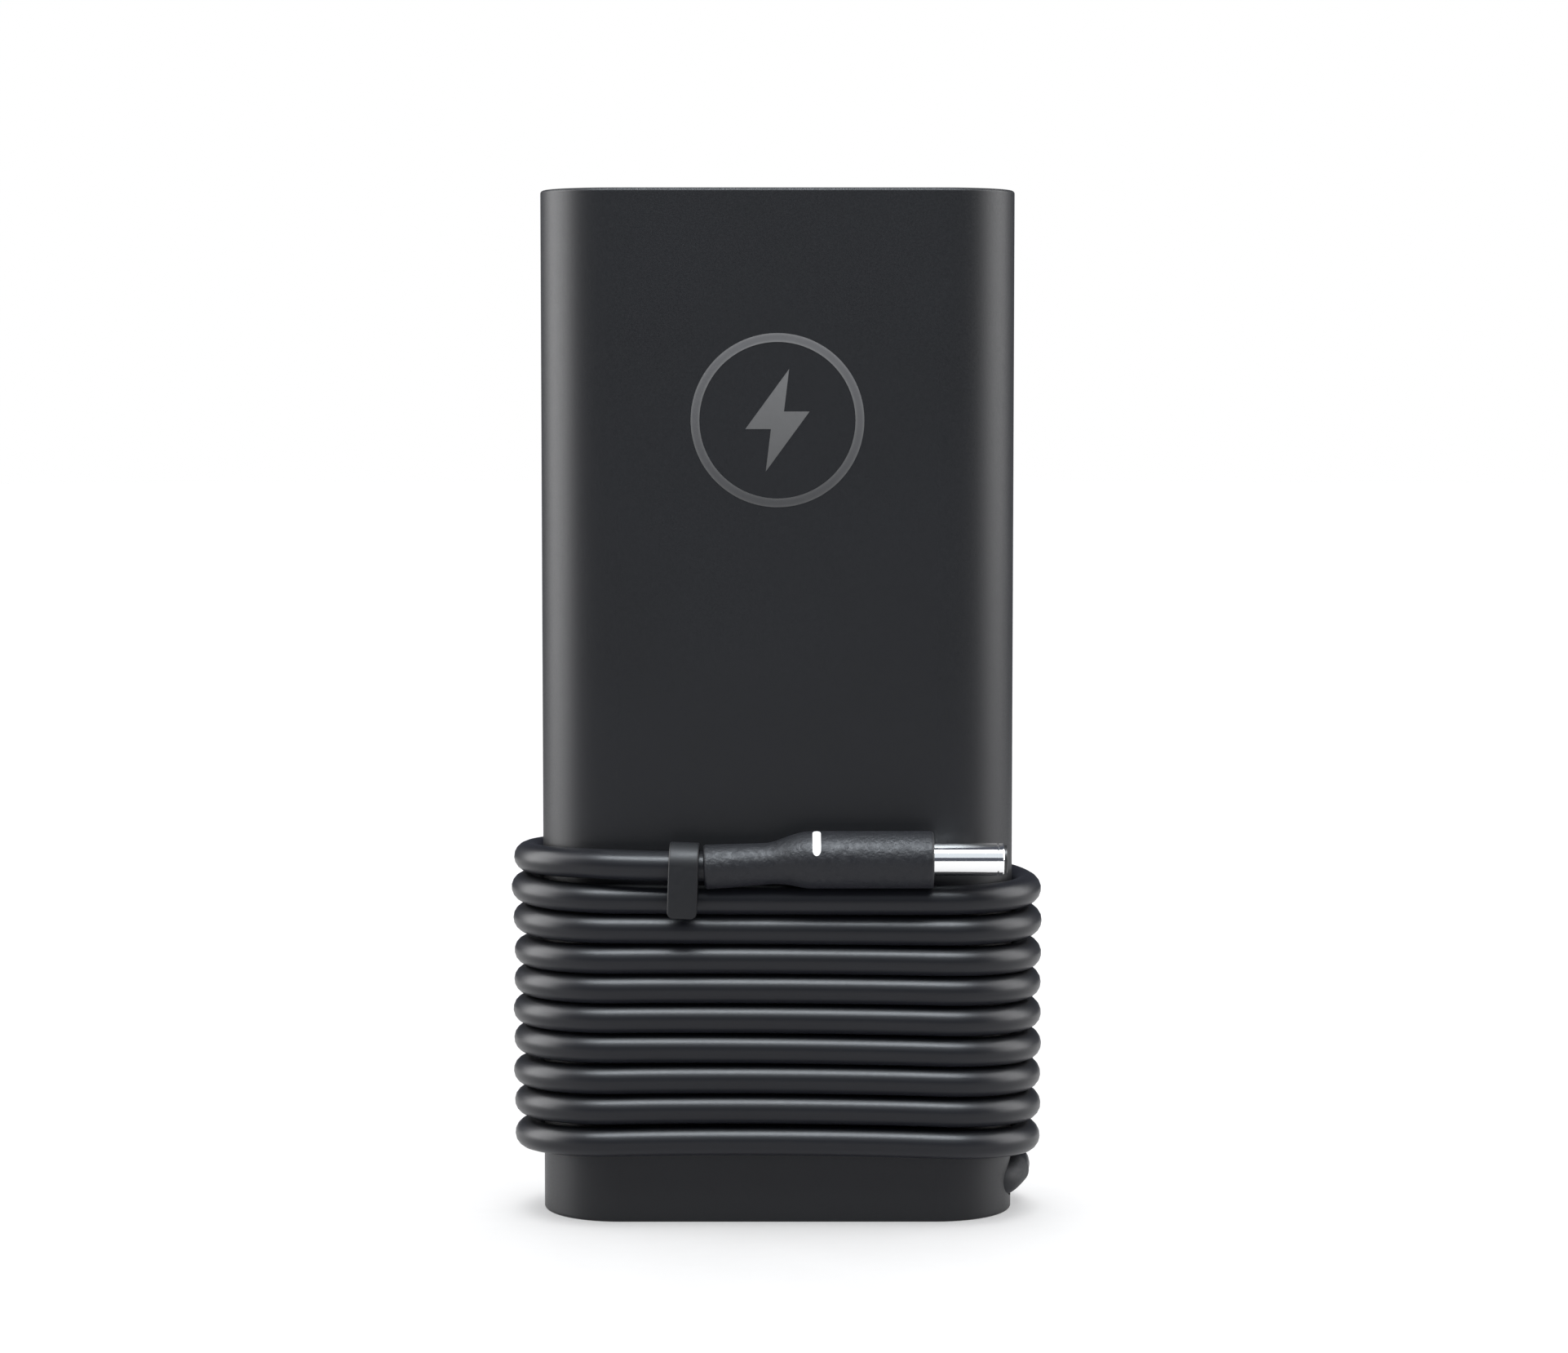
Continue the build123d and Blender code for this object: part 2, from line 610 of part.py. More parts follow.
with BuildPart() as bulk_capacitor:
    with BuildSketch(Plane.XY.offset(BULK_Z - BULK_LENGTH / 2)):
        with Locations((BULK_X, BULK_Y)):
            Circle(BULK_R)
    extrude(amount=BULK_LENGTH)
    fillet(bulk_capacitor.edges(), CAN_ROUND)
    # rolled groove near the sealed end
    with BuildSketch(Plane.XY.offset(BULK_Z - BULK_LENGTH / 2 + BULK_GROOVE_Z)):
        with Locations((BULK_X, BULK_Y)):
            Circle(BULK_R + 1)
            Circle(BULK_R - BULK_GROOVE_DEPTH, mode=Mode.SUBTRACT)
    extrude(amount=BULK_GROOVE_WIDTH, mode=Mode.SUBTRACT)
save(bulk_capacitor.part, "bulk_capacitor")

for sink_name, sink_x, (sink_z, sink_length) in (
        ("primary_heat_sink", -SINK_X, PRIMARY_SINK), ("secondary_heat_sink", SINK_X, SECONDARY_SINK)):
    with BuildPart() as heat_sink:
        with BuildSketch(stand_on_board()):
            with Locations((sink_x, sink_z)):
                Rectangle(SINK_THICK, sink_length)
        extrude(amount=SINK_TALL)
    save(heat_sink.part, sink_name)

# flat power transistors, each with its back on a heat sink and its legs in the board
for group_name, sink_x, side, heights in (("power_switches", -SINK_X, 1, SWITCH_ZS),
                                          ("output_rectifiers", SINK_X, -1, RECTIFIER_ZS)):
    case_x = sink_x + side * (SINK_THICK + CHIP_CASE[0]) / 2
    with BuildPart() as transistors:
        with BuildSketch(stand_on_board(CHIP_LIFT)):
            with Locations(*[(case_x, z) for z in heights]):
                Rectangle(*CHIP_CASE[:2])
        extrude(amount=CHIP_CASE[2])
        with BuildSketch(stand_on_board()):
            for z in heights:
                with Locations((case_x, z)):
                    with GridLocations(1, CHIP_LEG_PITCH, 1, 3):
                        Rectangle(*CHIP_LEG)
        extrude(amount=CHIP_LIFT)
    save(transistors.part, group_name)

with BuildPart() as transformer_core:
    with BuildSketch(stand_on_board(CORE_LOW)):
        with Locations((CORE_X, CORE_Z)):
            Rectangle(CORE_WIDTH, CORE_LENGTH)
    extrude(amount=CORE_TALL)
    with BuildSketch(stand_on_board(WINDOW_LOW)):
        with Locations((CORE_X, CORE_Z)):
            Rectangle(CORE_WIDTH - 2 * CORE_SIDE, CORE_LENGTH)
            Circle(POST_R, mode=Mode.SUBTRACT)
    extrude(amount=WINDOW_TALL, mode=Mode.SUBTRACT)
save(transformer_core.part, "transformer_core")

with BuildPart() as transformer_bobbin:
    for flange_low in (WINDOW_LOW, WINDOW_LOW + WINDOW_TALL - BOBBIN_FLANGE):
        with BuildSketch(stand_on_board(flange_low)):
            with Locations((CORE_X, CORE_Z)):
                Circle(BOBBIN_R)
                Circle(POST_R, mode=Mode.SUBTRACT)
        extrude(amount=BOBBIN_FLANGE)
    with BuildSketch(stand_on_board(WINDOW_LOW)):
        with Locations((CORE_X, CORE_Z)):
            Circle(POST_R + BOBBIN_WALL)
            Circle(POST_R, mode=Mode.SUBTRACT)
    extrude(amount=WINDOW_TALL)
save(transformer_bobbin.part, "transformer_bobbin")

for layer_name, layer_outer, layer_inner in (
        ("transformer_winding", COIL_R, POST_R + BOBBIN_WALL),
        ("transformer_tape", COIL_R + TAPE_THICK, COIL_R)):
    with BuildPart() as layer:
        with BuildSketch(stand_on_board(WINDOW_LOW + BOBBIN_FLANGE)):
            with Locations((CORE_X, CORE_Z)):
                Circle(layer_outer)
                Circle(layer_inner, mode=Mode.SUBTRACT)
        extrude(amount=WINDOW_TALL - 2 * BOBBIN_FLANGE)
    save(layer.part, layer_name)

with BuildPart() as optocoupler:
    with BuildSketch(stand_on_board(SMALL_ROUND)):
        with Locations(OPTOCOUPLER[:2]):
            Rectangle(*OPTOCOUPLER[2:4])
    extrude(amount=OPTOCOUPLER[4] - SMALL_ROUND)
    with BuildSketch(stand_on_board()):
        with Locations(OPTOCOUPLER[:2]):
            with GridLocations(OPTO_LEG_PITCH, OPTO_ROW_PITCH, 2, 2):
                Rectangle(*OPTO_LEG)
    extrude(amount=SMALL_ROUND + BACK_CHIP_LIFT)
save(optocoupler.part, "optocoupler")

with BuildPart() as output_capacitors:
    for can_x in OUT_CAN_XS:
        with BuildSketch(stand_on_board()):
            with Locations((can_x, OUT_CAN_Z)):
                Circle(OUT_CAN_R)
        extrude(amount=OUT_CAN_TALL)
    fillet(output_capacitors.edges().group_by(Axis.Y)[0], SMALL_ROUND)
save(output_capacitors.part, "output_capacitors")

with BuildPart() as output_choke_core:
    with BuildSketch(stand_on_board(OUT_CHOKE_LIFT)):
        with Locations((OUT_CHOKE_X, OUT_CHOKE_Z)):
            Circle(OUT_CHOKE_R)
            Circle(OUT_CHOKE_HOLE_R, mode=Mode.SUBTRACT)
    extrude(amount=OUT_CHOKE_WIDTH)
save(output_choke_core.part, "output_choke_core")

with BuildPart() as output_choke_winding:
    with BuildSketch(stand_on_board(OUT_CHOKE_LIFT - OUT_WIRE)):
        with Locations((OUT_CHOKE_X, OUT_CHOKE_Z)):
            Circle(OUT_CHOKE_R + OUT_WIRE)
            Circle(OUT_CHOKE_HOLE_R - OUT_WIRE, mode=Mode.SUBTRACT)
            with Locations((0, -OUT_WIRE_GAP_Y)):
                Rectangle(OUT_WIRE_GAP, 2 * OUT_WIRE_GAP, mode=Mode.SUBTRACT)
    extrude(amount=OUT_CHOKE_WIDTH + 2 * OUT_WIRE)
    add(output_choke_core.part, mode=Mode.SUBTRACT)
save(output_choke_winding.part, "output_choke_winding")

with BuildPart() as control_chips:
    for chip_x, chip_z in BACK_CHIPS:
        with BuildSketch(stand_on_board(-BOARD_THICK - BACK_CHIP_LIFT)):
            with Locations((chip_x, chip_z)):
                Rectangle(*BACK_CHIP_SIZE)
        extrude(amount=-BACK_CHIP_TALL)
        with BuildSketch(stand_on_board(-BOARD_THICK)):
            with Locations((chip_x, chip_z)):
                with GridLocations(BACK_LEG_PITCH, BACK_LEG_ROWS, 4, 2):
                    Rectangle(*BACK_LEG)
        extrude(amount=-BACK_LEG_THICK)
save(control_chips.part, "control_chips")

# ---------------------------------------------------------------- heat spreaders, film
for sheet_name, sheet_y, sheet_thick, toward in (
        ("front_heat_spreader", -SPREADER_Y, SPREADER_THICK, 1),
        ("front_insulating_film", -SPREADER_Y + SPREADER_THICK, FILM_THICK, 1),
        ("back_heat_spreader", SPREADER_Y, SPREADER_THICK, -1),
        ("back_insulating_film", SPREADER_Y - SPREADER_THICK, FILM_THICK, -1)):
    with BuildPart() as sheet:
        with BuildSketch(Plane.XZ.offset(-sheet_y)):
            with Locations((0, (SHEET_LOW + SHEET_HIGH) / 2)):
                RectangleRounded(SPREADER_WIDTH, SHEET_HIGH - SHEET_LOW, SHEET_CORNER)
        extrude(amount=-toward * sheet_thick)
    save(sheet.part, sheet_name)

FILM_FACE_Y = SPREADER_Y - SPREADER_THICK - FILM_THICK
with BuildPart() as thermal_pad:
    with BuildSketch(Plane.XZ.offset(FILM_FACE_Y)):
        with Locations((CORE_X, CORE_Z)):
            RectangleRounded(CORE_WIDTH - 2 * PAD_INSET_X, CORE_LENGTH - 2 * PAD_INSET_Z, PAD_CORNER)
    extrude(amount=CORE_LOW + CORE_TALL - BOARD_FRONT_Y - FILM_FACE_Y)
save(thermal_pad.part, "thermal_pad")

# ---------------------------------------------------------------- output wires, cord exit
with BuildPart() as output_wires:
    for wire_x, wire_dy, wire_dz in OUTPUT_WIRES:
        start = (RELIEF_ROUTE[0][0], RELIEF_ROUTE[0][1] + wire_dy, RELIEF_ROUTE[0][2] + wire_dz)
        low = (wire_x, start[1], start[2])
        with BuildLine():
            FilletPolyline(start, low, (wire_x, *OUTPUT_RISE),
                           (wire_x, BOARD_FRONT_Y, OUTPUT_BOARD_Z), radius=OUTPUT_WIRE_BEND)
        with BuildSketch(Plane(origin=start, z_dir=(-1, 0, 0))):
            Circle(OUTPUT_WIRE_R)
        sweep()
    # the wires stop flush with the board
    with BuildSketch(stand_on_board()):
        with Locations((10, 13)):
            Rectangle(30, 12)
    extrude(amount=-3, mode=Mode.SUBTRACT)
save(output_wires.part, "output_wires")

with BuildPart() as cord_strain_relief:
    with BuildLine():
        FilletPolyline(*RELIEF_ROUTE, radius=RELIEF_BEND)
    with BuildSketch(tube_plane(RELIEF_ROUTE)):
        Circle(RELIEF_R)
    sweep()
save(cord_strain_relief.part, "cord_strain_relief")

# ---------------------------------------------------------------- cord
with BuildPart() as cord_lead:
    with BuildLine():
        lead_path = FilletPolyline(*LEAD_ROUTE, radius=corner_radii(LEAD_ROUTE))
    with BuildSketch(tube_plane(LEAD_ROUTE)):
        Circle(CORD_R)
    sweep()
save(cord_lead.part, "cord_lead")
print_tube("cord_lead", cord_lead.part, LEAD_ROUTE, lead_path.length)

# Outer shape of the wound turns: nine passes in front and eight behind, which climb from right to left.
with BuildPart() as cord_winding:
    with BuildSketch(Plane.XY.offset(WIND_LOW)):
        SlotOverall(WIDTH + 4 * CORD_R, DEPTH + 4 * CORD_R)
    extrude(amount=WIND_HIGH - WIND_LOW)
    fillet(cord_winding.edges().group_by(Axis.Z)[0], WIND_ROUND)
    fillet(cord_winding.edges().group_by(Axis.Z)[-1], WIND_ROUND)
    with BuildSketch(Plane.XY):
        SlotOverall(WIDTH, DEPTH)
    extrude(amount=HEIGHT, mode=Mode.SUBTRACT)
    with BuildSketch(Plane.XZ):
        with BuildLine():
            Polyline((-40, 0), (40, 0), (40, BACK_LOW_RIGHT), (-40, BACK_LOW_LEFT), close=True)
        make_face()
        with BuildLine():
            Polyline((-40, 60), (40, 60), (40, BACK_HIGH_RIGHT), (-40, BACK_HIGH_LEFT), close=True)
        make_face()
    extrude(amount=-DEPTH, mode=Mode.SUBTRACT)
save(cord_winding.part, "cord_winding")

with BuildPart() as cord_tail:
    with BuildLine():
        tail_path = FilletPolyline(*TAIL_ROUTE, radius=corner_radii(TAIL_ROUTE))
    with BuildSketch(tube_plane(TAIL_ROUTE)):
        Circle(CORD_R)
    sweep()
save(cord_tail.part, "cord_tail")
print_tube("cord_tail", cord_tail.part, TAIL_ROUTE, tail_path.length)

# ---------------------------------------------------------------- plug
cord_end = Vector(*TAIL_ROUTE[-1])
cord_dir = (cord_end - Vector(*TAIL_ROUTE[-2])).normalized()
neck_plane = Plane(origin=(NECK_END_X, PLUG_Y, NECK_END_Z), z_dir=(1, 0, NECK_SLOPE))
body_plane = Plane(origin=(BODY_START_X, PLUG_Y, PLUG_Z), z_dir=(1, 0, 0))
light_angle = math.radians((LIGHT_LOW + LIGHT_HIGH) / 2)
light_plane = Plane(
    origin=(LIGHT_X, PLUG_Y, PLUG_Z),
    x_dir=(0, math.sin(light_angle), math.cos(light_angle)),
    z_dir=(0, -math.cos(light_angle), math.sin(light_angle)),
)
light_chord = 2 * PLUG_R * math.sin(math.radians((LIGHT_HIGH - LIGHT_LOW) / 2))


def plug_section(x):
    return Plane(origin=(x, PLUG_Y, PLUG_Z), x_dir=(0, 1, 0), z_dir=(1, 0, 0))


with BuildPart() as plug_light_window:
    with BuildSketch(plug_section(LIGHT_X - 1)):
        Circle(PLUG_R + LIGHT_PROUD)
        Circle(LIGHT_INNER_R, mode=Mode.SUBTRACT)
    extrude(amount=2)
    with BuildSketch(light_plane):
        SlotOverall(light_chord, LIGHT_WIDTH)
    extrude(amount=PLUG_R + 1, mode=Mode.INTERSECT)
save(plug_light_window.part, "plug_light_window")

with BuildPart() as plug_led:
    with BuildSketch(light_plane.offset(LED_BASE_R)):
        Rectangle(*LED_SIZE)
    extrude(amount=LED_TALL)
save(plug_led.part, "plug_led")

with BuildPart() as plug_board:
    with BuildSketch(Plane(origin=(PLUG_BOARD[0], PLUG_Y, PLUG_Z), x_dir=(1, 0, 0), z_dir=(0, -1, 0))):
        Rectangle(*PLUG_BOARD[1:3])
    extrude(amount=PLUG_BOARD[3] / 2, both=True)
save(plug_board.part, "plug_board")

# Barrel with a wider root that the grip is moulded round.
ROOT_X = BODY_END_X - BARREL_ROOT
BARREL_LENGTH = BARREL_END_X - ROOT_X
with BuildPart() as plug_barrel:
    with BuildSketch(plug_section(ROOT_X)):
        Circle(BARREL_ROOT_R)
    extrude(amount=BARREL_ROOT)
    with BuildSketch(plug_section(ROOT_X)):
        Circle(BARREL_R)
    extrude(amount=BARREL_LENGTH)
    chamfer(plug_barrel.edges().sort_by(Axis.X)[-1], BARREL_LEAD)
    with BuildSketch(plug_section(ROOT_X)):
        Circle(BARREL_R - BARREL_WALL)
    extrude(amount=BARREL_LENGTH, mode=Mode.SUBTRACT)
    with BuildSketch(plug_section(BARREL_END_X - BARREL_GROOVE)):
        Circle(BARREL_R + 1)
        Circle(BARREL_R - BARREL_GROOVE_DEPTH, mode=Mode.SUBTRACT)
    extrude(amount=BARREL_GROOVE_WIDTH, mode=Mode.SUBTRACT)
save(plug_barrel.part, "plug_barrel")

with BuildPart() as plug_insulator:
    with BuildSketch(plug_section(ROOT_X)):
        Circle(BARREL_R - BARREL_WALL)
        Circle(SLEEVE_R, mode=Mode.SUBTRACT)
    extrude(amount=BARREL_LENGTH + INSULATOR_PROUD)
    fillet(plug_insulator.edges().group_by(Axis.X)[-1], INSULATOR_ROUND)
save(plug_insulator.part, "plug_insulator")

with BuildPart() as plug_inner_sleeve:
    with BuildSketch(plug_section(ROOT_X)):
        Circle(SLEEVE_R)
        Circle(SLEEVE_R - SLEEVE_WALL, mode=Mode.SUBTRACT)
    extrude(amount=BARREL_LENGTH - SLEEVE_SHORT)
save(plug_inner_sleeve.part, "plug_inner_sleeve")

with BuildPart() as plug_pin_holder:
    with BuildSketch(plug_section(ROOT_X)):
        Circle(SLEEVE_R - SLEEVE_WALL)
        Circle(CENTRE_R, mode=Mode.SUBTRACT)
    extrude(amount=HOLDER_LENGTH)
save(plug_pin_holder.part, "plug_pin_holder")

with BuildPart() as plug_centre_pin:
    with BuildSketch(plug_section(ROOT_X)):
        Circle(CENTRE_R)
    extrude(amount=BARREL_LENGTH - CENTRE_SHORT)
    fillet(plug_centre_pin.edges().group_by(Axis.X)[-1], CENTRE_ROUND)
save(plug_centre_pin.part, "plug_centre_pin")

with BuildPart() as plug_grip:
    with BuildSketch(Plane(origin=cord_end, z_dir=cord_dir)):
        Circle(NECK_REAR_R)
    with BuildSketch(neck_plane):
        Circle(NECK_FRONT_R)
    loft()
    with BuildSketch(neck_plane):
        Circle(NECK_FRONT_R)
    with BuildSketch(body_plane):
        Circle(PLUG_R)
    loft()
    with BuildSketch(body_plane):
        Circle(PLUG_R)
    extrude(amount=BODY_END_X - BODY_START_X)
    fillet(plug_grip.edges().sort_by(Axis.X)[-1], BODY_ROUND)
    fillet(plug_grip.edges().sort_by(Axis.X)[0], NECK_ROUND)
    with BuildSketch(plug_section(ROOT_X)):
        Circle(BARREL_ROOT_R)
    extrude(amount=BARREL_ROOT, mode=Mode.SUBTRACT)
    add(plug_light_window.part, mode=Mode.SUBTRACT)
    add(plug_led.part, mode=Mode.SUBTRACT)
    add(plug_board.part, mode=Mode.SUBTRACT)
save(plug_grip.part, "plug_grip")

# ---------------------------------------------------------------- strap
# A ring round the cord with a flat tail that hangs in front of the next turn.
strap_share = (STRAP_X - STRAP_WIDTH / 2 - cord_end.X) / cord_dir.X
strap_plane = Plane(
    origin=cord_end + cord_dir * strap_share,
    x_dir=cord_dir.cross(Vector(0, 0, 1)),
    z_dir=cord_dir,
)
with BuildPart() as cable_strap:
    with BuildSketch(strap_plane):
        Circle(STRAP_RING_R)
        with Locations((STRAP_RING_R - STRAP_THICK / 2, STRAP_TAIL / 2)):
            Rectangle(STRAP_THICK, STRAP_TAIL)
    extrude(amount=STRAP_WIDTH)
    fillet(cable_strap.edges().filter_by(Axis.Y, tolerance=3).group_by(Axis.Z)[0], STRAP_ROUND)
    with BuildSketch(strap_plane):
        Circle(STRAP_HOLE_R)
    extrude(amount=STRAP_WIDTH, mode=Mode.SUBTRACT)
save(cable_strap.part, "cable_strap")
print("strap hinge point", cord_end + cord_dir * (strap_share + STRAP_WIDTH / 2), "axis", cord_dir * -1)
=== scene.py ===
import math

import bmesh
import bpy
from mathutils import Matrix, Vector


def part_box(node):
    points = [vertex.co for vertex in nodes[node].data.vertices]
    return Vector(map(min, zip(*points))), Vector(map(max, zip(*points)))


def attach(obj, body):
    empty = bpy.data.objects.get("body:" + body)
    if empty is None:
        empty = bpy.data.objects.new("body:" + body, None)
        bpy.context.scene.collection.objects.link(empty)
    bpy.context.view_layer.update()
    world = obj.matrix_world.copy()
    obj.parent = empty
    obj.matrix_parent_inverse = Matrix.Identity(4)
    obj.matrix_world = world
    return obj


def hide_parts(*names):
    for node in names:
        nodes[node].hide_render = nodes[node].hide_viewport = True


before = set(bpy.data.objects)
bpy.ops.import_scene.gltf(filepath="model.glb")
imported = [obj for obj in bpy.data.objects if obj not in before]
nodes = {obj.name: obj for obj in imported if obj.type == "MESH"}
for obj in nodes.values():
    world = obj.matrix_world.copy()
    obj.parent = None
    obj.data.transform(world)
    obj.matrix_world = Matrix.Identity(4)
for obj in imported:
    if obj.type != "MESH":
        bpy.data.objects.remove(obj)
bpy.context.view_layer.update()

# Slim laptop power adapter with its output cord wound round it.
# The frame is in metres: +Z up, front towards -Y, origin at the middle of the bottom end.
MM = 0.001
slot_of = {node_name: node.data.materials[0].name for node_name, node in nodes.items()}


# ---------------------------------------------------------------- camera
CAMERA_AT = (0.000416, -0.54527, 0.11665)
CAMERA_DOWN = 0.0757
CAMERA_RIGHT = 0.0009
CAMERA_LENS = 89.39

camera_data = bpy.data.cameras.new("camera")
camera_data.sensor_width = 36.0
camera_data.lens = CAMERA_LENS
camera = bpy.data.objects.new("camera", camera_data)
camera.location = CAMERA_AT
camera.rotation_euler = (math.pi / 2 - CAMERA_DOWN, 0, -CAMERA_RIGHT)
bpy.context.scene.collection.objects.link(camera)
bpy.context.scene.camera = camera
bpy.context.scene.view_settings.view_transform = "Standard"


# ---------------------------------------------------------------- materials
# Nearly all values of a noise texture lie between these two.
NOISE_LOW = 0.3
NOISE_HIGH = 0.7
NOISE_ROUGHNESS = 0.55
# Where on the noise's scale the first tone ends and the second begins.
FIRST_TONE_AT = 0.35
SECOND_TONE_AT = 0.65


def new_material(name):
    material = bpy.data.materials.new(name)
    material.use_nodes = True
    tree = material.node_tree
    return material, tree, tree.nodes["Principled BSDF"]


def noise(tree, scale, detail=4.0):
    """A noise texture in object space. scale is in waves per metre."""
    place = tree.nodes.new("ShaderNodeTexCoord")
    texture = tree.nodes.new("ShaderNodeTexNoise")
    texture.inputs["Scale"].default_value = scale
    texture.inputs["Detail"].default_value = detail
    texture.inputs["Roughness"].default_value = NOISE_ROUGHNESS
    tree.links.new(place.outputs["Object"], texture.inputs["Vector"])
    return texture.outputs["Fac"]


def spread(tree, source, low, high):
    """Maps a noise value to the range low to high."""
    node = tree.nodes.new("ShaderNodeMapRange")
    node.inputs["From Min"].default_value = NOISE_LOW
    node.inputs["From Max"].default_value = NOISE_HIGH
    node.inputs["To Min"].default_value = low
    node.inputs["To Max"].default_value = high
    tree.links.new(source, node.inputs["Value"])
    return node.outputs["Result"]


def two_tones(tree, source, tone_a, tone_b):
    """Mixes two colours by a noise value."""
    ramp = tree.nodes.new("ShaderNodeValToRGB")
    ramp.color_ramp.elements[0].position = FIRST_TONE_AT
    ramp.color_ramp.elements[0].color = (*tone_a, 1)
    ramp.color_ramp.elements[1].position = SECOND_TONE_AT
    ramp.color_ramp.elements[1].color = (*tone_b, 1)
    tree.links.new(source, ramp.inputs["Fac"])
    return ramp.outputs["Color"]


def add_bump(tree, shader, source, depth):
    """depth is the height of the relief in metres."""
    bump = tree.nodes.new("ShaderNodeBump")
    bump.inputs["Strength"].default_value = 1.0
    bump.inputs["Distance"].default_value = depth
    tree.links.new(source, bump.inputs["Height"])
    tree.links.new(bump.outputs["Normal"], shader.inputs["Normal"])


def surface(name, tones, roughness, grain, depth, metallic=0.0, specular=0.5, patch=60.0):
    """A material with patchy colour and gloss and a fine grain.
    tones are two linear colours, or None where the caller links a colour of its own.
    roughness is (low, high), patch and grain are in waves per metre, depth is in metres."""
    material, tree, shader = new_material(name)
    fine = noise(tree, grain, detail=2.0)
    if tones:
        tree.links.new(two_tones(tree, noise(tree, patch), *tones), shader.inputs["Base Color"])
    tree.links.new(spread(tree, fine, *roughness), shader.inputs["Roughness"])
    shader.inputs["Metallic"].default_value = metallic
    shader.inputs["Specular IOR Level"].default_value = specular
    add_bump(tree, shader, fine, depth)
    return material


def grey(value, tint=(0.0, 0.0, 0.0)):
    """A linear grey. tint is how much more or less of it each channel gets, as a share."""
    return tuple(value * (1 + t) for t in tint)


COOL = (-0.10, -0.04, 0.30)

finishes = {
    "housing_plastic": surface(
        "moulded_black_plastic", (grey(0.0088, COOL), grey(0.0102, COOL)), (0.42, 0.50), 3800, 6e-6,
        specular=0.33),
    "label_film": surface(
        "matte_label_film", (grey(0.024, COOL), grey(0.029, COOL)), (0.5, 0.6), 2600, 3e-6),
    "inlet_plastic": surface(
        "inlet_plastic", (grey(0.0105, COOL), grey(0.0125, COOL)), (0.42, 0.52), 3000, 5e-6, specular=0.35),
    "plated_brass": surface(
        "plated_pins", ((0.72, 0.70, 0.66), (0.78, 0.76, 0.72)), (0.18, 0.26), 2400, 1e-6, metallic=1.0),
    "wire_sleeve": surface(
        "wire_sleeve", ((0.30, 0.035, 0.02), (0.34, 0.045, 0.025)), (0.4, 0.5), 2400, 2e-6),
    "board_laminate": surface(
        "board_laminate", ((0.02, 0.10, 0.045), (0.03, 0.13, 0.055)), (0.35, 0.5), 1400, 6e-6),
    "ceramic_disc": surface(
        "ceramic_disc", ((0.02, 0.09, 0.30), (0.03, 0.11, 0.36)), (0.3, 0.45), 900, 8e-6),
    "part_case": surface(
        "moulded_part_body", (grey(0.018), grey(0.024)), (0.5, 0.62), 2600, 6e-6),
    "film_box": surface(
        "yellow_film_box", ((0.55, 0.33, 0.04), (0.6, 0.38, 0.05)), (0.35, 0.45), 1800, 4e-6),
    "ferrite": surface(
        "ferrite", (grey(0.05), grey(0.07)), (0.55, 0.7), 1300, 1.2e-5),
    "enamelled_wire": surface(
        "enamelled_wire", ((0.42, 0.14, 0.05), (0.5, 0.18, 0.07)), (0.25, 0.35), 1500, 3e-5, metallic=0.8),
    "bobbin_plastic": surface(
        "bobbin_plastic", (grey(0.03), grey(0.04)), (0.4, 0.5), 2000, 5e-6),
    "tape": surface(
        "polyester_tape", ((0.55, 0.42, 0.05), (0.62, 0.48, 0.07)), (0.2, 0.3), 1300, 6e-6),
    "can_aluminium": surface(
        "capacitor_sleeve", ((0.02, 0.03, 0.05), (0.03, 0.04, 0.06)), (0.22, 0.32), 1500, 3e-6),
    "sheet_aluminium": surface(
        "sheet_aluminium", (grey(0.62), grey(0.7)), (0.3, 0.42), 3200, 3e-6, metallic=1.0),
    "insulating_film": surface(
        "insulating_film", ((0.35, 0.24, 0.07), (0.4, 0.28, 0.09)), (0.25, 0.35), 1100, 4e-6),
    "thermal_gel": surface(
        "thermal_gel", (grey(0.4), grey(0.46)), (0.6, 0.75), 900, 1.5e-5),
    "cord_jacket": surface(
        "soft_cord_jacket", (grey(0.0122, COOL), grey(0.0138, COOL)), (0.35, 0.41), 4200, 4e-6,
        specular=0.28, patch=35),
    "plug_plastic": surface(
        "textured_plug_plastic", (grey(0.0125, COOL), grey(0.0145, COOL)), (0.42, 0.58), 1400, 1.1e-4,
        specular=0.31),
    "strap_rubber": surface(
        "strap_rubber", (grey(0.0078, COOL), grey(0.0092, COOL)), (0.44, 0.54), 3400, 6e-6,
        specular=0.32),
    "bright_metal": surface(
        "bright_nickel", (grey(0.9), grey(0.94)), (0.07, 0.11), 2600, 4e-7, metallic=1.0),
    "insulator_plastic": surface(
        "insulator_plastic", (grey(0.02), grey(0.025)), (0.35, 0.45), 2600, 3e-6),
    "light_chip": surface(
        "light_chip", (grey(0.7), grey(0.8)), (0.3, 0.4), 2600, 2e-6),
}


def light_lens():
    """The plug's lit window: a milky lens that glows white."""
    material = surface("lit_lens", (grey(0.85), grey(0.9)), (0.3, 0.4), 1500, 2e-6)
    shader = material.node_tree.nodes["Principled BSDF"]
    shader.inputs["Emission Color"].default_value = (0.93, 0.96, 1.0, 1)
    shader.inputs["Emission Strength"].default_value = 0.6
    return material


# Outer radius and line width of the emblem's ring, in millimetres.
EMBLEM_R = 11.9
EMBLEM_LINE = 1.2
# Grey at the bottom and at the top of the emblem: painted shade below and painted light above, as if the
# inlay were lit from above.
EMBLEM_SHADED_BOTTOM_GREY = 0.128
EMBLEM_LIT_TOP_GREY = 0.285
# Painted shade along the middle of the line, which leaves painted highlights on both rims as a bevelled
# ring would catch light, and the share of the line's width where it starts and ends.
EMBLEM_PAINTED_SHADE = (0.74, 0.74, 0.76, 1)
EMBLEM_PAINTED_SHADE_AT = (0.35, 0.65)


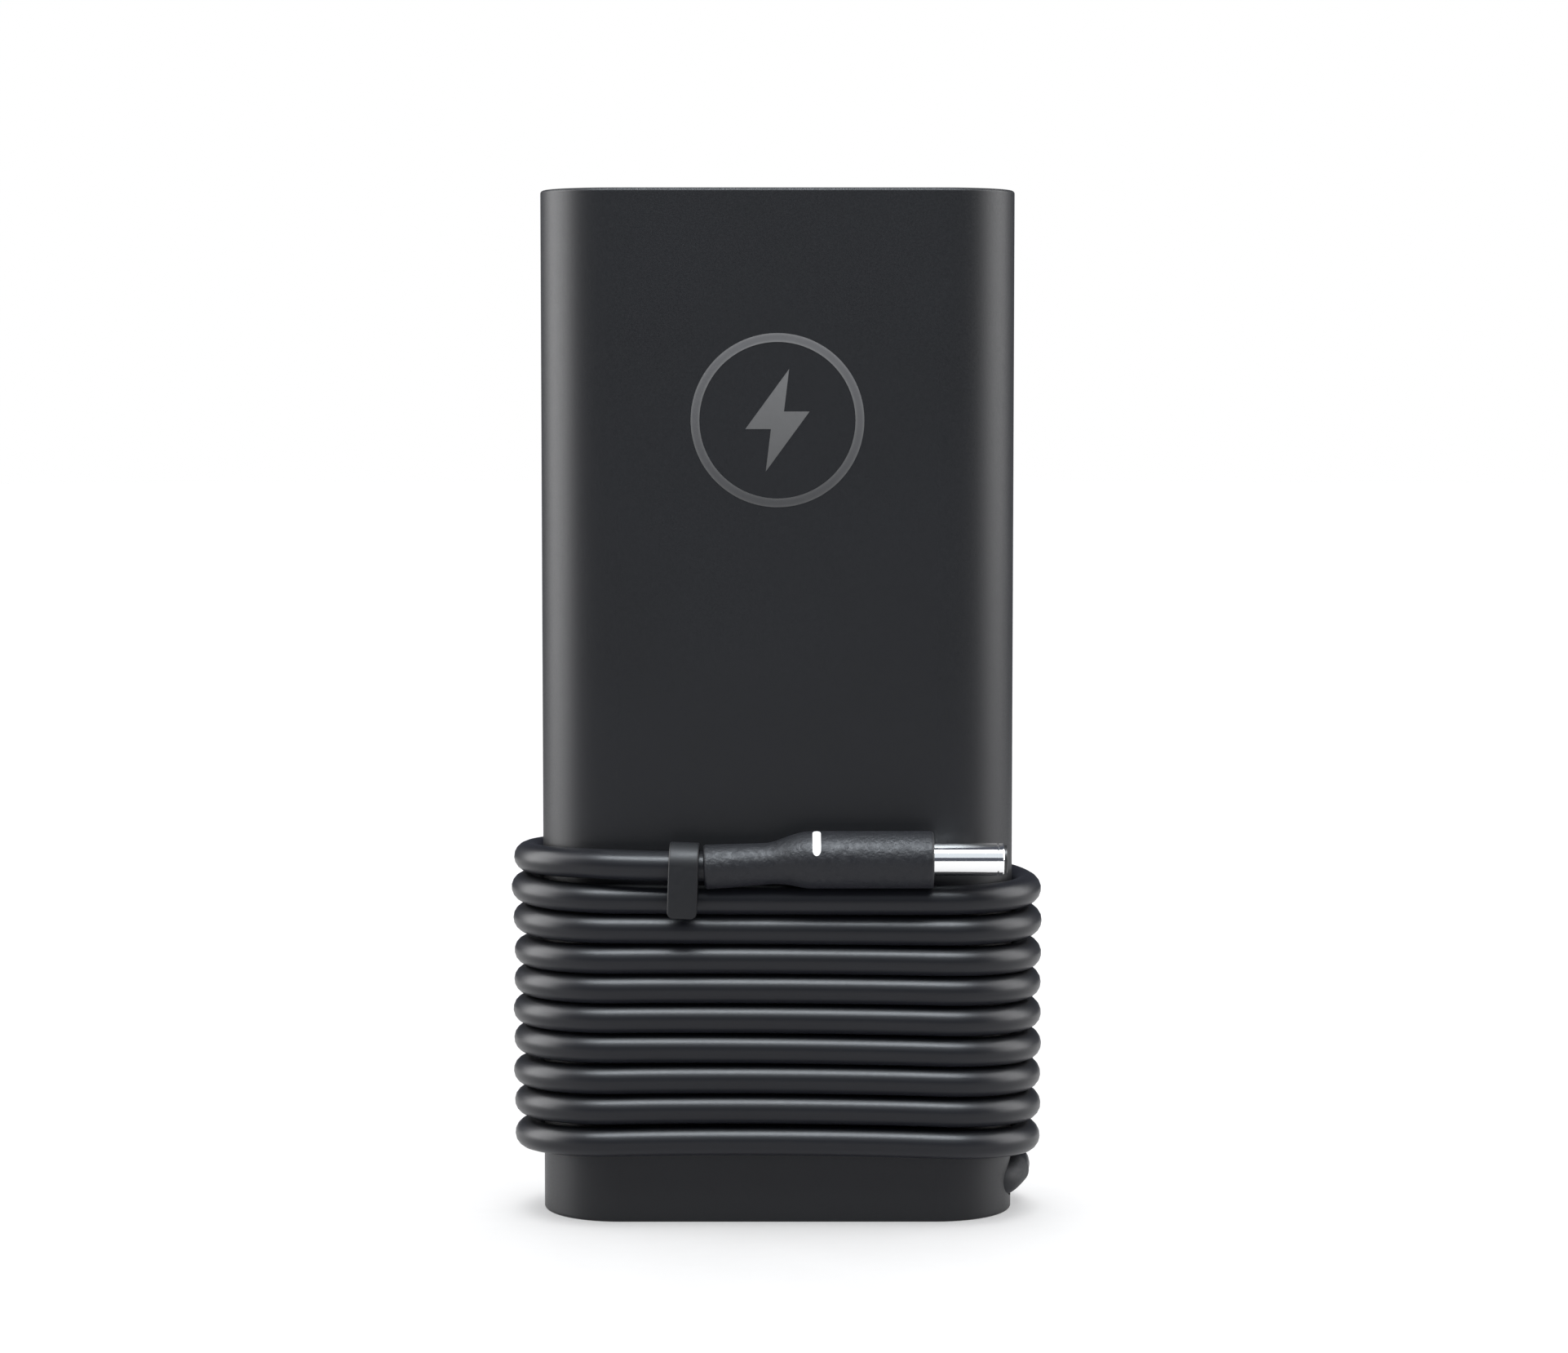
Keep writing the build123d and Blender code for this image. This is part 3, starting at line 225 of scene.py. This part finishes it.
def painted_rim_shade(tree, place, centre):
    """1 at both rims of the emblem's ring and on the sign inside it, darker along the ring's middle:
    painted shade and painted highlights standing in for a bevelled ring's light.
    """
    reach = tree.nodes.new("ShaderNodeVectorMath")
    reach.operation = "DISTANCE"
    reach.inputs[1].default_value = centre
    shade = tree.nodes.new("ShaderNodeValToRGB")
    shade.color_ramp.interpolation = "EASE"
    scale = tree.nodes.new("ShaderNodeMapRange")
    scale.inputs["From Min"].default_value = (EMBLEM_R - EMBLEM_LINE) * MM
    scale.inputs["From Max"].default_value = EMBLEM_R * MM
    first, last = shade.color_ramp.elements
    first.color = last.color = (1, 1, 1, 1)
    for position in EMBLEM_PAINTED_SHADE_AT:
        shade.color_ramp.elements.new(position).color = EMBLEM_PAINTED_SHADE
    tree.links.new(place, reach.inputs[0])
    tree.links.new(reach.outputs["Value"], scale.inputs["Value"])
    tree.links.new(scale.outputs["Result"], shade.inputs["Fac"])
    return shade.outputs["Color"]


def emblem_inlay():
    """Satin grey inlay with painted light: lighter towards its top and darker towards its bottom, as if lit
    from above, and lighter along its ring's rims.
    """
    material = surface("satin_grey_inlay_painted_light", None, (0.36, 0.44), 5200, 3e-6, metallic=0.35)
    tree = material.node_tree
    shader = tree.nodes["Principled BSDF"]
    low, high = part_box("front_emblem")
    place = tree.nodes.new("ShaderNodeTexCoord")
    axes = tree.nodes.new("ShaderNodeSeparateXYZ")
    height = tree.nodes.new("ShaderNodeMapRange")
    height.inputs["From Min"].default_value = low.z
    height.inputs["From Max"].default_value = high.z
    # Painted light: the inlay's grey rises from its bottom to its top.
    ramp = tree.nodes.new("ShaderNodeValToRGB")
    ramp.color_ramp.elements[0].color = (*grey(EMBLEM_SHADED_BOTTOM_GREY), 1)
    ramp.color_ramp.elements[1].color = (*grey(EMBLEM_LIT_TOP_GREY), 1)
    tree.links.new(place.outputs["Object"], axes.inputs[0])
    tree.links.new(axes.outputs["Z"], height.inputs["Value"])
    tree.links.new(height.outputs["Result"], ramp.inputs["Fac"])
    mix = tree.nodes.new("ShaderNodeMix")
    mix.data_type = "RGBA"
    mix.blend_type = "MULTIPLY"
    mix.inputs["Factor"].default_value = 1.0
    tree.links.new(ramp.outputs["Color"], mix.inputs["A"])
    # Painted shade along the ring's middle, multiplied into the painted top light.
    tree.links.new(painted_rim_shade(tree, place.outputs["Object"], (low + high) / 2), mix.inputs["B"])
    tree.links.new(mix.outputs["Result"], shader.inputs["Base Color"])
    return material


finishes["light_lens"] = light_lens()
finishes["emblem_inlay"] = emblem_inlay()
# The strain relief shares the jacket's slot but is duller.
relief_finish = surface(
    "matt_relief_rubber", (grey(0.0115, COOL), grey(0.0132, COOL)), (0.55, 0.66), 2600, 1.2e-5,
    specular=0.32)

for node_name, node in nodes.items():
    node.data.materials.clear()
    node.data.materials.append(finishes[slot_of[node_name]])


# ---------------------------------------------------------------- output cord
# Route points in millimetres. They are the CAD source's, but up to 0.62 further out at the strain
# relief, and up to 0.5 lower from the left side to the strap.
CORD_R = 2.05
LEAD_ROUTE = [
    (33.3, 0.92, 4.85), (34.25, 3.96, 5.23), (33.4, 8.22, 5.7), (30.5, 11.67, 6.2),
    (26.4, 13.5, 6.7), (18.6, 13.3, 7.2), (6.5, 13.2, 8.1), (-7.5, 13.15, 8.6),
    (-18.5, 13.3, 9.5), (-25.5, 13.1, 9.9), (-31.55, 9.55, 10.3), (-35.05, 3.5, 10.6),
]
TAIL_ROUTE = [
    (35.05, 3.5, 45.6), (31.55, 9.55, 46.1), (25.5, 13.1, 46.6),
    (18.4, 13.3, 47.0), (6.5, 13.15, 47.9), (-7.5, 13.25, 48.4), (-18.5, 13.2, 49.3),
    (-25.5, 13.1, 49.6), (-31.55, 9.55, 49.8), (-35.05, 3.5, 49.95), (-35.05, -3.5, 50.1),
    (-31.55, -9.55, 50.35), (-25.6, -13.15, 50.5), (-21.2, -14.3, 50.45),
    (-15.2, -14.9, 50.38), (-9.6, -15.0, 50.3),
]
# Heights of the nine front passes at the left side, the middle of the front and the right side.
# Eight passes behind join them.
LEFT_Z = [10.7, 15.4, 19.7, 24.3, 28.45, 32.65, 36.8, 41.5, 45.85]
FRONT_Z = [11.95, 16.35, 20.55, 24.75, 28.95, 33.1, 37.2, 41.3, 45.4]
RIGHT_Z = [10.1, 14.7, 19.0, 23.3, 27.7, 32.05, 36.2, 40.9, 45.5]
# How much further out than a tight turn each one sits on the left and on the right.
LEFT_SLACK = [0.0, 0.05, 0.2, 0.1, 0.2, 0.05, 0.0, 0.15, 0.4]
RIGHT_SLACK = [0.0, 0.1, 0.05, 0.15, 0.1, 0.05, 0.1, 0.15, 0.05]
# A pass is flat in the middle and bends towards its two ends with this power.
ARCH_POWER = 2.4
# The housing's round sides have their centres at x = 22 and -22. The cord's line runs at LINE_R
# from them, and the control points on the round, 30 degrees apart, at CORNER_R.
ENDS_X = 22.0
LINE_R = 13.05
CORNER_R = LINE_R / math.cos(math.radians(15))
END_ANGLES = (15, 45, 75)
STRAIGHT_XS = (18.5, 6.5)
HALF_TURN = ENDS_X + LINE_R * math.pi / 2
CORD_STEPS = 6
CORD_BEVEL_STEPS = 7


def half_turn_stations(slack):
    """Points of one quarter from the middle of a straight to the far end: (x, y, share of the way)."""
    stations = [(x, LINE_R, x / HALF_TURN) for x in reversed(STRAIGHT_XS)]
    for angle in reversed(END_ANGLES):
        turn = math.radians(angle)
        reach = CORNER_R + slack * math.cos(turn)
        along = ENDS_X + LINE_R * (math.pi / 2 - turn)
        stations.append((ENDS_X + reach * math.cos(turn), CORNER_R * math.sin(turn), along / HALF_TURN))
    return stations


def pass_points(side, start_z, middle_z, end_z, start_slack, end_slack):
    """One pass across the front (side -1, left to right) or the back (side 1, right to left)."""
    arch = middle_z - (start_z + end_z) / 2
    stations = [(-x, y, -s) for x, y, s in reversed(half_turn_stations(start_slack))]
    stations += half_turn_stations(end_slack)
    points = []
    for x, y, share in stations:
        z = start_z + (end_z - start_z) * (share + 1) / 2 + arch * (1 - abs(share) ** ARCH_POWER)
        points.append((-side * x, side * y, z))
    return points


def coil_points():
    """The points of all the wound turns, from the lowest pass across the front to the highest."""
    points = []
    for turn, (left, front, right) in enumerate(zip(LEFT_Z, FRONT_Z, RIGHT_Z)):
        points += pass_points(-1, left, front, right, LEFT_SLACK[turn], RIGHT_SLACK[turn])
        if turn + 1 < len(LEFT_Z):
            next_left = LEFT_Z[turn + 1]
            points += pass_points(1, right, (right + next_left) / 2, next_left,
                                  RIGHT_SLACK[turn], LEFT_SLACK[turn + 1])
    return points


def nurbs_curve(name, points):
    """One open NURBS spline with these control points, in millimetres."""
    data = bpy.data.curves.new(name, "CURVE")
    data.dimensions = "3D"
    spline = data.splines.new("NURBS")
    spline.points.add(len(points) - 1)
    for control, point in zip(spline.points, points):
        control.co = (*(Vector(point) * MM), 1.0)
    spline.order_u = 3
    spline.use_endpoint_u = True
    spline.use_smooth = True
    return data


cord_route = LEAD_ROUTE + coil_points() + TAIL_ROUTE
cord_data = nurbs_curve("output_cord", cord_route)
cord_data.resolution_u = CORD_STEPS
cord_data.bevel_depth = CORD_R * MM
cord_data.bevel_resolution = CORD_BEVEL_STEPS
cord_data.use_fill_caps = True
cord_data.materials.append(finishes["cord_jacket"])
output_cord = bpy.data.objects.new("output_cord", cord_data)
bpy.context.scene.collection.objects.link(output_cord)
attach(output_cord, "adapter")
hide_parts("cord_lead", "cord_winding", "cord_tail")


# ---------------------------------------------------------------- mesh helpers
GUIDE_STEPS = 12
SHARP_ANGLE = math.radians(50)


def add_piece(name, mesh, slot, body, *stands_for):
    """Puts a mesh in the scene as a piece that rides on a body and replaces CAD nodes."""
    mesh.materials.append(finishes[slot])
    piece = bpy.data.objects.new(name, mesh)
    bpy.context.scene.collection.objects.link(piece)
    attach(piece, body)
    if stands_for:
        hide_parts(*stands_for)
    return piece


def line_of(route):
    """The points of the NURBS line through a route given in millimetres."""
    data = nurbs_curve("guide", route)
    data.resolution_u = GUIDE_STEPS
    guide = bpy.data.objects.new("guide", data)
    mesh = bpy.data.meshes.new_from_object(guide)
    points = [v.co.copy() for v in mesh.vertices]
    bpy.data.objects.remove(guide)
    bpy.data.curves.remove(data)
    bpy.data.meshes.remove(mesh)
    return points


def sweep_rings(name, line, radii, segments=48):
    """A closed tube round a line with one radius, in metres, for each point of the line."""
    build = bmesh.new()
    side = Vector((0, 0, 1))
    rings = []
    for index, (centre, radius) in enumerate(zip(line, radii)):
        before = line[max(index - 1, 0)]
        after = line[min(index + 1, len(line) - 1)]
        ahead = (after - before).normalized()
        side = (side - ahead * side.dot(ahead)).normalized()
        other = ahead.cross(side)
        ring = []
        for step in range(segments):
            angle = 2 * math.pi * step / segments
            out = side * math.cos(angle) + other * math.sin(angle)
            ring.append(build.verts.new(centre + out * radius))
        rings.append(ring)
    for low, high in zip(rings, rings[1:]):
        for step in range(segments):
            after = (step + 1) % segments
            build.faces.new((low[step], low[after], high[after], high[step]))
    build.faces.new(list(reversed(rings[0])))
    build.faces.new(rings[-1])
    bmesh.ops.recalc_face_normals(build, faces=build.faces)
    mesh = bpy.data.meshes.new(name)
    build.to_mesh(mesh)
    build.free()
    mesh.shade_smooth()
    mesh.set_sharp_from_angle(angle=SHARP_ANGLE)
    return mesh


def smooth_step(share):
    """0 below 0, 1 above 1, and a smooth rise between."""
    share = min(max(share, 0.0), 1.0)
    return share * share * (3 - 2 * share)


# ---------------------------------------------------------------- strain relief
RELIEF_ROUTE = [
    (22.5, -3.1, 4.35), (27.0, -3.1, 4.35), (31.0, -3.1, 4.35), (32.65, -1.1, 4.6), (33.6, 1.9, 4.98),
]
RELIEF_R = 2.45
RELIEF_TIP_R = 2.22
# The taper's start and length as shares of the relief's length, and the size of the bevel at its tip.
TAPER_START = 0.45
TAPER_SPAN = 0.5
RELIEF_BEVEL = 0.12


def strain_relief():
    """A short tapered sleeve round the lead where it leaves the housing."""
    line = line_of(RELIEF_ROUTE)
    last = len(line) - 1
    radii = []
    for index in range(len(line)):
        share = index / last
        radius = RELIEF_R + (RELIEF_TIP_R - RELIEF_R) * smooth_step((share - TAPER_START) / TAPER_SPAN)
        radii.append(radius * MM)
    line.append(line[-1] + (line[-1] - line[-2]).normalized() * RELIEF_BEVEL * MM)
    radii.append((RELIEF_TIP_R - RELIEF_BEVEL) * MM)
    mesh = sweep_rings("strain_relief", line, radii)
    piece = add_piece("strain_relief", mesh, "cord_jacket", "adapter", "cord_strain_relief")
    mesh.materials[0] = relief_finish
    return piece


relief = strain_relief()


# ---------------------------------------------------------------- plug overmould
PLUG_Y = -14.88
PLUG_Z = 51.23
PLUG_R = 3.93
GRIP_ROUTE = [
    (-10.1, -15.0, 50.24), (-7.0, -14.98, 50.38), (-3.5, -14.9, 50.58), (-0.8, PLUG_Y, 50.72),
    (2.4, PLUG_Y, 51.16), (5.0, PLUG_Y, PLUG_Z), (9.0, PLUG_Y, PLUG_Z), (14.0, PLUG_Y, PLUG_Z),
    (21.4, PLUG_Y, PLUG_Z),
]
NECK_START = -10
NECK_END = -1
NECK_REAR_R = 3.05
NECK_FRONT_R = 2.85
FLARE_START = -1.3
FLARE_END = 4.7
LIP_ROUND = 0.45
LIP_STEPS = 6


def grip_radius(x):
    """Radius of the overmould at x, in millimetres: a slightly tapered neck that flares into the body."""
    taper = smooth_step((x - NECK_START) / (NECK_END - NECK_START))
    neck = NECK_REAR_R + (NECK_FRONT_R - NECK_REAR_R) * taper
    return neck + (PLUG_R - neck) * smooth_step((x - FLARE_START) / (FLARE_END - FLARE_START))


def plug_overmould():
    """The plug's moulded grip, rounded at both ends."""
    line = line_of(GRIP_ROUTE)
    first, last = line[0].copy(), line[-1].copy()
    rear = (line[1] - line[0]).normalized()
    front = Vector((1, 0, 0))
    body = [p for p in line if (p - first).length > LIP_ROUND * MM and (last - p).length > LIP_ROUND * MM]
    centres, radii = [], []
    for step in range(LIP_STEPS + 1):
        turn = math.pi / 2 * step / LIP_STEPS
        centres.append(first + rear * LIP_ROUND * MM * (1 - math.cos(turn)))
        radii.append((NECK_REAR_R - LIP_ROUND * (1 - math.sin(turn))) * MM)
    centres += body
    radii += [grip_radius(p.x / MM) * MM for p in body]
    for step in range(LIP_STEPS + 1):
        turn = math.pi / 2 * (1 - step / LIP_STEPS)
        centres.append(last - front * LIP_ROUND * MM * (1 - math.cos(turn)))
        radii.append((PLUG_R - LIP_ROUND * (1 - math.sin(turn))) * MM)
    mesh = sweep_rings("plug_overmould", centres, radii, segments=64)
    return add_piece("plug_overmould", mesh, "plug_plastic", "adapter", "plug_grip")


overmould = plug_overmould()


# ---------------------------------------------------------------- light window
LENS_X = 5.35
LENS_NARROW = 0.84
LENS_RISE = 0.14


def lens():
    """The window's own mesh, a little narrower, and lifted to stand just proud of the overmould."""
    mesh = nodes["plug_light_window"].data.copy()
    mesh.materials.clear()
    for vertex in mesh.vertices:
        vertex.co.x = LENS_X * MM + (vertex.co.x - LENS_X * MM) * LENS_NARROW
        out = Vector((0, vertex.co.y - PLUG_Y * MM, vertex.co.z - PLUG_Z * MM)).normalized()
        vertex.co += out * LENS_RISE * MM
    return add_piece("light_window_lens", mesh, "light_lens", "adapter", "plug_light_window")


light_window = lens()


# ---------------------------------------------------------------- cable strap
STRAP_AT = Vector((-12.8018, -14.9428, 50.4943)) * MM
STRAP_ALONG = Vector((0.999204, -0.017843, -0.035686))
STRAP_HALF_WIDTH = 2.05
STRAP_RING_R = 3.15
STRAP_HOLE_R = 2.2
STRAP_TAIL = 7.08
STRAP_THICK = 1.9
STRAP_EDGE = 0.28
STRAP_CORNER = 0.9
# Only edges sharper than this are rounded off, so the tail's round corners stay whole.
STRAP_RIM_ANGLE = math.radians(60)


def rounded_section(half_width, inner, outer, edge, steps=4):
    """A closed outline in (along, out) with rounded corners, in millimetres."""
    outline = []
    corners = ((half_width - edge, outer - edge, 0), (-half_width + edge, outer - edge, 90),
               (-half_width + edge, inner + edge, 180), (half_width - edge, inner + edge, 270))
    for along, out, start in corners:
        for step in range(steps + 1):
            turn = math.radians(start + 90 * step / steps)
            outline.append((along + edge * math.cos(turn), out + edge * math.sin(turn)))
    return outline


def strap_ring(build, turns=64):
    """The band round the cord, in local millimetres: x along the cord, y back, z up."""
    section = rounded_section(STRAP_HALF_WIDTH, STRAP_HOLE_R, STRAP_RING_R, STRAP_EDGE)
    rings = []
    for step in range(turns):
        angle = 2 * math.pi * step / turns
        rings.append([build.verts.new((along, out * math.cos(angle), out * math.sin(angle)))
                      for along, out in section])
    for ring, following in zip(rings, rings[1:] + rings[:1]):
        for index in range(len(section)):
            after = (index + 1) % len(section)
            build.faces.new((ring[index], ring[after], following[after], following[index]))


def strap_tail(build):
    """The flat tail that hangs from the front of the band."""
    made = bmesh.ops.create_cube(build, size=1.0)["verts"]
    height = STRAP_TAIL + STRAP_EDGE
    bmesh.ops.scale(build, verts=made, vec=(2 * STRAP_HALF_WIDTH, STRAP_THICK, height))
    middle = (0, -STRAP_RING_R + STRAP_THICK / 2, STRAP_EDGE - height / 2)
    bmesh.ops.translate(build, verts=made, vec=middle)
    low = [e for e in build.edges if all(v in made and v.co.z < 0 for v in e.verts)
           and abs(e.verts[0].co.y - e.verts[1].co.y) > STRAP_THICK / 2]
    cut = bmesh.ops.bevel(build, geom=low, offset=STRAP_CORNER, segments=6, affect="EDGES", profile=0.5)
    loose = set(made) | set(cut["verts"])
    rims = [e for e in build.edges if all(v in loose for v in e.verts) and e.is_valid
            and e.calc_face_angle(0.0) > STRAP_RIM_ANGLE]
    bmesh.ops.bevel(build, geom=rims, offset=STRAP_EDGE, segments=4, affect="EDGES", profile=0.5)


def cord_strap():
    """The rubber strap: a band round the cord with a flat tail, on the swinging body."""
    build = bmesh.new()
    strap_ring(build)
    strap_tail(build)
    bmesh.ops.recalc_face_normals(build, faces=build.faces)
    across = STRAP_ALONG.cross(Vector((0, 0, 1))).normalized() * -1
    up = STRAP_ALONG.cross(across)
    place = Matrix((STRAP_ALONG, across, up)).transposed().to_4x4()
    bmesh.ops.transform(build, verts=build.verts,
                        matrix=Matrix.Translation(STRAP_AT) @ place @ Matrix.Scale(MM, 4))
    mesh = bpy.data.meshes.new("cord_strap")
    build.to_mesh(mesh)
    build.free()
    mesh.shade_smooth()
    mesh.set_sharp_from_angle(angle=SHARP_ANGLE)
    return add_piece("cord_strap", mesh, "strap_rubber", "strap", "cable_strap")


strap = cord_strap()


# ---------------------------------------------------------------- floor, light
FLOOR_GLOW = 0.48
FLOOR_STEPS = 64
NEAR_FLOOR = 0.45
FAR_FLOOR = 4.0
WASH_STRENGTH = 3.3
WASH_ANGLE = math.radians(50)
WORLD_COLOUR = (0.86, 0.93, 1.15, 1)
WORLD_STRENGTH = 0.10
MIDDLE = Vector((0, 0, 0.08))
SKY = (0.90, 0.96, 1.0)


def floor_material():
    """Pale and slightly self-lit, so that the shadow on it stays soft."""
    material = surface("pale_floor", (grey(0.48), grey(0.5)), (0.7, 0.85), 300, 1e-5, specular=0.1)
    shader = material.node_tree.nodes["Principled BSDF"]
    shader.inputs["Emission Color"].default_value = (1, 1, 1, 1)
    shader.inputs["Emission Strength"].default_value = FLOOR_GLOW
    return material


def add_floor(name, material, inner, outer, reflects):
    """A flat ring of floor. reflects says whether the object's gloss shows it."""
    build = bmesh.new()
    rims = []
    for radius in (inner, outer):
        rim = []
        for step in range(FLOOR_STEPS):
            angle = 2 * math.pi * step / FLOOR_STEPS
            rim.append(build.verts.new((radius * math.cos(angle), radius * math.sin(angle), 0)))
        rims.append(rim)
    for step in range(FLOOR_STEPS):
        after = (step + 1) % FLOOR_STEPS
        build.faces.new((rims[0][step], rims[1][step], rims[1][after], rims[0][after]))
    if inner == 0:
        bmesh.ops.remove_doubles(build, verts=build.verts, dist=MM)
    mesh = bpy.data.meshes.new(name)
    build.to_mesh(mesh)
    build.free()
    mesh.materials.append(material)
    floor = bpy.data.objects.new(name, mesh)
    floor.visible_glossy = reflects
    bpy.context.scene.collection.objects.link(floor)


def add_panel(name, place, size, radiance, colour=(1, 1, 1), kind="gloss"):
    """A rectangular area light that points at the object. size is (width, height).
    kind is gloss, which only shows in reflections, or wash, which only lights."""
    data = bpy.data.lights.new(name, "AREA")
    data.shape = "RECTANGLE"
    data.size, data.size_y = size
    data.energy = math.pi * size[0] * size[1] * radiance
    data.color = colour
    panel = bpy.data.objects.new(name, data)
    panel.location = place
    panel.rotation_euler = (MIDDLE - Vector(place)).to_track_quat("-Z", "Y").to_euler()
    panel.visible_camera = False
    panel.visible_diffuse = kind != "gloss"
    panel.visible_glossy = kind != "wash"
    bpy.context.scene.collection.objects.link(panel)


def set_world():
    """White behind the object for the camera, dim for everything that the object reflects."""
    world = bpy.data.worlds.new("studio")
    world.use_nodes = True
    tree = world.node_tree
    path = tree.nodes.new("ShaderNodeLightPath")
    dim = tree.nodes["Background"]
    dim.inputs["Color"].default_value = WORLD_COLOUR
    dim.inputs["Strength"].default_value = WORLD_STRENGTH
    white = tree.nodes.new("ShaderNodeBackground")
    white.inputs["Color"].default_value = (1, 1, 1, 1)
    white.inputs["Strength"].default_value = 1.0
    mix = tree.nodes.new("ShaderNodeMixShader")
    tree.links.new(path.outputs["Is Camera Ray"], mix.inputs[0])
    tree.links.new(dim.outputs[0], mix.inputs[1])
    tree.links.new(white.outputs[0], mix.inputs[2])
    tree.links.new(mix.outputs[0], tree.nodes["World Output"].inputs["Surface"])
    bpy.context.scene.world = world


def add_wash():
    """Even light straight down, so that the whole floor is equally pale."""
    data = bpy.data.lights.new("floor_wash", "SUN")
    data.energy = WASH_STRENGTH
    data.angle = WASH_ANGLE
    wash = bpy.data.objects.new("floor_wash", data)
    wash.visible_glossy = False
    bpy.context.scene.collection.objects.link(wash)


pale = floor_material()
add_floor("floor_near", pale, 0, NEAR_FLOOR, True)
add_floor("floor_far", pale, NEAR_FLOOR, FAR_FLOOR, False)
set_world()
add_wash()
add_panel("left_panel", place=(-0.693, 0.097, 0.30), size=(0.62, 0.7), radiance=7.6)
add_panel("right_panel", place=(0.693, 0.08, 0.34), size=(0.58, 0.7), radiance=5.8)
add_panel("top_strip", place=(0, -0.45, 0.93), size=(1.1, 0.30), radiance=27.5, colour=SKY)
add_panel("front_panel", place=(0, -1.25, 1.15), size=(2.4, 1.5), radiance=0.8, colour=SKY)
add_panel("back_fill", place=(0, 1.0, 0.9), size=(1.2, 0.5), radiance=2.0, kind="wash")
